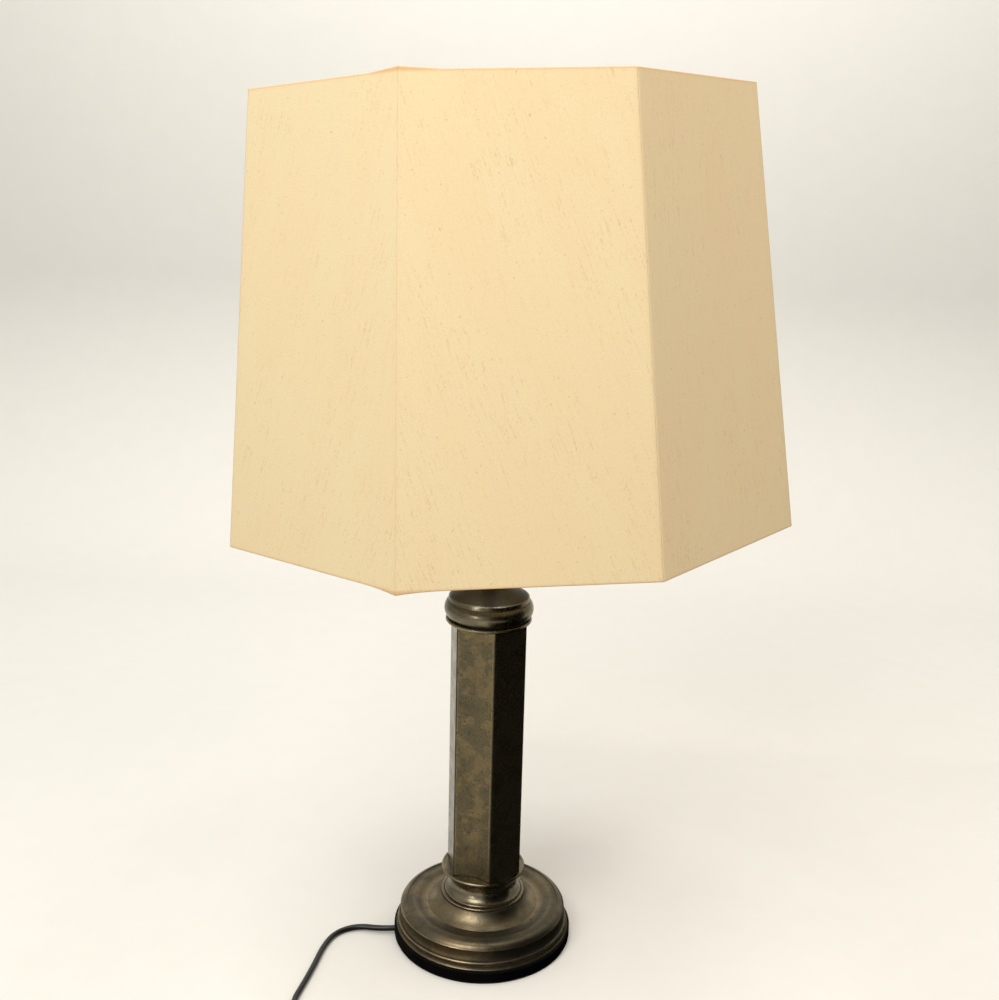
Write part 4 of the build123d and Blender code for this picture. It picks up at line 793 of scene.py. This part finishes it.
stem_top = stem_foot + (STEM_HEIGHT - LEAD_ROOT) * MM
filament_z = stem_top + LEAD_RISE * MM
share = np.linspace(0, 1, 24)
for side, name in ((-1, "bulb_lead_left"), (1, "bulb_lead_right")):
    lead_x = side * (LEAD_START + (FILAMENT_REACH - LEAD_START) * share**LEAD_POWER) * MM
    lead_z = stem_top + (filament_z - stem_top) * share
    lead = np.stack([lead_x, 0 * share, lead_z], -1)
    dress(wire_piece(name, lead, LEAD_RADIUS * MM), "bulb", "bulb_cap", tungsten)
print("filament height", round(filament_z, 4))

# %% Filament, in mm
FILAMENT_RISE = 6.0
FILAMENT_TURNS = 30
FILAMENT_COIL = 0.7
FILAMENT_RADIUS = 0.16

share = np.linspace(0, 1, FILAMENT_TURNS * 12)
wind = 2 * np.pi * FILAMENT_TURNS * share
filament = np.stack([
    (2 * share - 1) * FILAMENT_REACH,
    FILAMENT_COIL * np.cos(wind),
    filament_z / MM + FILAMENT_RISE * np.sin(np.pi * share) + FILAMENT_COIL * np.sin(wind),
], -1) * MM
dress(wire_piece("bulb_filament", filament, FILAMENT_RADIUS * MM, 6), "bulb", "bulb_cap", tungsten)
print("filament points", len(filament))

# %% [markdown]
# ### Bulb cap
# The cap is thin metal with a thread rolled into it, on a foot of black glass. A screw modifier could
# wind a thread, but it would end abruptly. Here the radius follows a cosine of the angle less one turn
# for each pitch of height, and a fade at both ends lets the thread run out.

# %% Threaded cap of the bulb, in mm
THREAD_PITCH = 3.629
THREAD_DEPTH = 1.1
THREAD_ROWS = 110
THREAD_FADE_IN = 2.0
THREAD_FADE_OUT = 1.5
CAP_RIM = 0.2
CAP_FOOT = 3.0
CAP_NECK = 4.5
FOOT_RADIUS = 4.6
FOOT_ROWS = 6
cap_low, cap_high = CAP_BOX[0][2] / MM, CAP_BOX[1][2] / MM
cap_radius = CAP_BOX[1][0] / MM
insulator = speckled("black glass", rgb(16, 15, 15), rgb(8, 8, 8), 200.0, 0.12, 0.0)

tall = np.linspace(cap_low + CAP_FOOT, cap_high - CAP_RIM, THREAD_ROWS)[:, None]
fade_in = np.clip((tall - cap_low - CAP_FOOT) / THREAD_FADE_IN, 0, 1)
fade_out = np.clip((cap_high - CAP_NECK - tall) / THREAD_FADE_OUT, 0, 1)
wave = 0.5 - 0.5 * np.cos(round_angle - 2 * np.pi * tall / THREAD_PITCH)
thread = cap_radius - fade_in * fade_out * THREAD_DEPTH * wave
foot = np.linspace(FOOT_RADIUS, cap_radius, FOOT_ROWS)[:-1, None] + 0 * round_angle
foot_heights = np.linspace(cap_low, cap_low + CAP_FOOT, FOOT_ROWS)[:-1]
cap_rows = np.concatenate([foot, thread])
cap_heights = np.concatenate([foot_heights, tall[:, 0]])
bulb_thread = turned_piece("bulb_thread", cap_rows * MM, cap_heights * MM)
dress(bulb_thread, "bulb", "bulb_cap", bulb_metal, insulator)

# The foot's faces, and the one that closes it, are black glass
in_foot = np.repeat(np.arange(len(cap_heights) - 1) < FOOT_ROWS - 1, ROUND).astype(np.int32)
bulb_thread.data.polygons.foreach_set("material_index", np.concatenate([in_foot, [1, 0]]))
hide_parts("bulb_cap")
print("thread turns", round((cap_high - cap_low - CAP_FOOT - CAP_NECK) / THREAD_PITCH, 1))

# %% [markdown]
# ### Ferrules
# A sleeve on each leg of the harp is lifted with the fingers, so its grip is knurled: two sets of
# grooves lean both ways and cross. Cutting them one by one would take many booleans. So the radius is
# lowered wherever one of two sine waves is near its peak, between two plain bands.

# %% Knurled ferrules, in mm
KNURLS = 16
KNURL_DEPTH = 0.28
KNURL_LEAN = 1.1
KNURL_FADE = 0.3
PLAIN_BAND = 2.2
FERRULE_WALL = 1.2
FERRULE_CHAMFER = 0.4
FERRULE_ROWS = 57


def knurled_rows(outer, tall):
    """The radius for each height and angle: two crossing sets of leaning grooves between plain bands."""
    from_end = np.minimum(tall - tall[0], tall[-1] - tall)
    window = np.clip((from_end - PLAIN_BAND) / KNURL_FADE, 0, 1)
    lean = KNURL_LEAN * (tall - tall[0])
    one_way = np.abs(np.sin(KNURLS / 2 * round_angle + lean))
    other_way = np.abs(np.sin(KNURLS / 2 * round_angle - lean))
    chamfer = np.clip(FERRULE_CHAMFER - from_end, 0, None)
    return outer - chamfer - window * KNURL_DEPTH * np.maximum(one_way, other_way) ** 4


for side in ("left", "right"):
    low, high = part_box(f"ferrule_{side}")
    middle = (np.array(low) + np.array(high)) / 2
    outer = (high[0] - low[0]) / 2 / MM
    tall = np.linspace(low[2] / MM, high[2] / MM, FERRULE_ROWS)[:, None]
    inside = outer - FERRULE_WALL + 0 * round_angle + 0 * tall
    rows = np.concatenate([knurled_rows(outer, tall), inside])
    heights = np.concatenate([tall[:, 0], tall[::-1, 0]])
    name = f"knurled_ferrule_{side}"
    ferrule = turned_piece(name, rows * MM, heights * MM, (middle[0], middle[1]), closed=True)
    dress(ferrule, f"ferrule_{side}", "brass", satin_brass)
    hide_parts(f"ferrule_{side}")
    print(name, "outer radius", round(outer, 2))

# %% [markdown]
# ## Floor
# The lamp stands on a pale floor. A flat plane would end in a line behind it, so the floor sweeps up
# there in a quarter of a circle.

# %% Floor
SWEEP_BACK = 0.95
SWEEP_RADIUS = 0.5
SWEEP_TOP = 3.5
FLOOR_REACH = 4.0
floor_x = np.linspace(-FLOOR_REACH, FLOOR_REACH, 3)[:, None]
swing = np.linspace(0, np.pi / 2, 17)
sweep_y = np.concatenate([
    [-FLOOR_REACH], SWEEP_BACK + SWEEP_RADIUS * np.sin(swing), [SWEEP_BACK + SWEEP_RADIUS],
])
sweep_z = np.concatenate([[0.0], SWEEP_RADIUS * (1 - np.cos(swing)), [SWEEP_TOP]])
sweep = np.stack([floor_x + 0 * sweep_y, 0 * floor_x + sweep_y, 0 * floor_x + sweep_z], -1)
floor = grid_mesh("floor", sweep)
floor_finish = Finish("pale floor")
floor_grain = floor_finish.noise(floor_finish.place(), 30.0)
floor.data.materials.append(floor_finish.surface(
    Base_Color=floor_finish.blend(floor_grain, rgb(236, 233, 225), rgb(232, 229, 221)),
    Roughness=0.8,
))
floor.visible_diffuse = False
print("floor faces", len(floor.data.polygons))

# %% [markdown]
# ## Light
# One large soft light stands at the front left, so the front and left panels are equally bright and the
# right one falls off. A smaller one, like a window, gives the metal its long highlights, a warm fill
# lifts the right side, and a last one lights the backdrop. A point light or a sun would give hard
# shadows, so all of them are areas. The sky is faint, and a little brighter overhead.

# %% Lights
def soft_light(name, place, target, size, power, colour):
    """A square light at a place, turned to face a target."""
    data = bpy.data.lights.new(name, "AREA")
    data.size = size
    data.energy = power
    data.color = colour
    light = bpy.data.objects.new(name, data)
    light.location = place
    light.rotation_euler = (Vector(target) - Vector(place)).to_track_quat("-Z", "Y").to_euler()
    bpy.context.scene.collection.objects.link(light)
    return light


DAYLIGHT = (0.99, 1.0, 0.985)
WARM_LIGHT = (1.0, 0.86, 0.77)
BACK_LIGHT = (1.0, 0.99, 0.96)
# After the place and what it faces come the size in metres, the power in watts, and the colour
soft_light("key", (-0.52, -1.08, 1.50), (0, 0, 0.5), 0.9, 13.6, DAYLIGHT)
soft_light("window", (-0.85, -1.36, 0.60), (0, 0, 0.3), 0.30, 2.6, DAYLIGHT)
fill = soft_light("fill", (0.85, -0.65, 1.5), (0, 0, 0.6), 1.0, 6.0, WARM_LIGHT)
fill.visible_glossy = False
soft_light("backdrop", (0.0, 0.35, 2.4), (0, 1.45, 1.6), 1.2, 30.0, BACK_LIGHT)
print("lights", len(bpy.data.lights))

# %% Sky
sky = Finish("studio", bpy.data.worlds.new("studio"))
sky_height = sky.parts(sky.node("ShaderNodeTexCoord", out="Generated"))[2]
sky_light = sky.node("ShaderNodeBackground", None, {
    "Color": (1.0, 0.98, 0.94, 1.0), "Strength": 0.22 + sky_height.step(-0.3, 0.5) * 0.45,
})
sky.node("ShaderNodeOutputWorld", None, {"Surface": sky_light})
bpy.context.scene.world = sky.material
bpy.context.scene.view_settings.view_transform = "Standard"
print("sky", sky.material.name)

# %% [markdown]
# ## Reflections
# Polished metal shows what lies around it, and an empty studio would make it pale all over. A whole room
# could be modelled, but a few black cards that only reflections see do the same: one on the floor, two
# upright ones at the right, and one overhead. A tan card warms what the foot of the lamp reflects.

# %% Reflection cards
def reflection_card(name, corner, side, rise, colour):
    """A flat card, from a corner along two sides, that only reflections see."""
    share = np.linspace(0, 1, 2)
    along = share[:, None, None] * np.array(side)
    across = share[None, :, None] * np.array(rise)
    card = grid_mesh(name, np.array(corner) + along + across)
    finish = Finish(name)
    card.data.materials.append(finish.surface(Base_Color=colour, Roughness=1.0, Specular_IOR_Level=0.0))
    card.visible_camera = False
    card.visible_diffuse = False
    card.visible_shadow = False
    card.visible_transmission = False
    print(name, "at", corner)


BLACK = (0.004, 0.004, 0.004, 1.0)
TAN = (0.20, 0.155, 0.11, 1.0)
reflection_card("black_card", (0.02, -0.6, 0.002), (0.69, 0, 0), (0, 1.0, 0), BLACK)
reflection_card("black_screen", (0.70, -0.9, 0.002), (0, 1.05, 0), (0, 0, 1.30), BLACK)
reflection_card("black_corner", (0.12, -1.20, 0.002), (0.58, 0.30, 0), (0, 0, 1.30), BLACK)
reflection_card("black_ceiling", (0.06, -1.50, 1.70), (1.20, 0, 0), (0, 1.40, 0), BLACK)
reflection_card("tan_card", (-0.125, -0.125, 0.001), (0.16, 0, 0), (0, 0.23, 0), TAN)
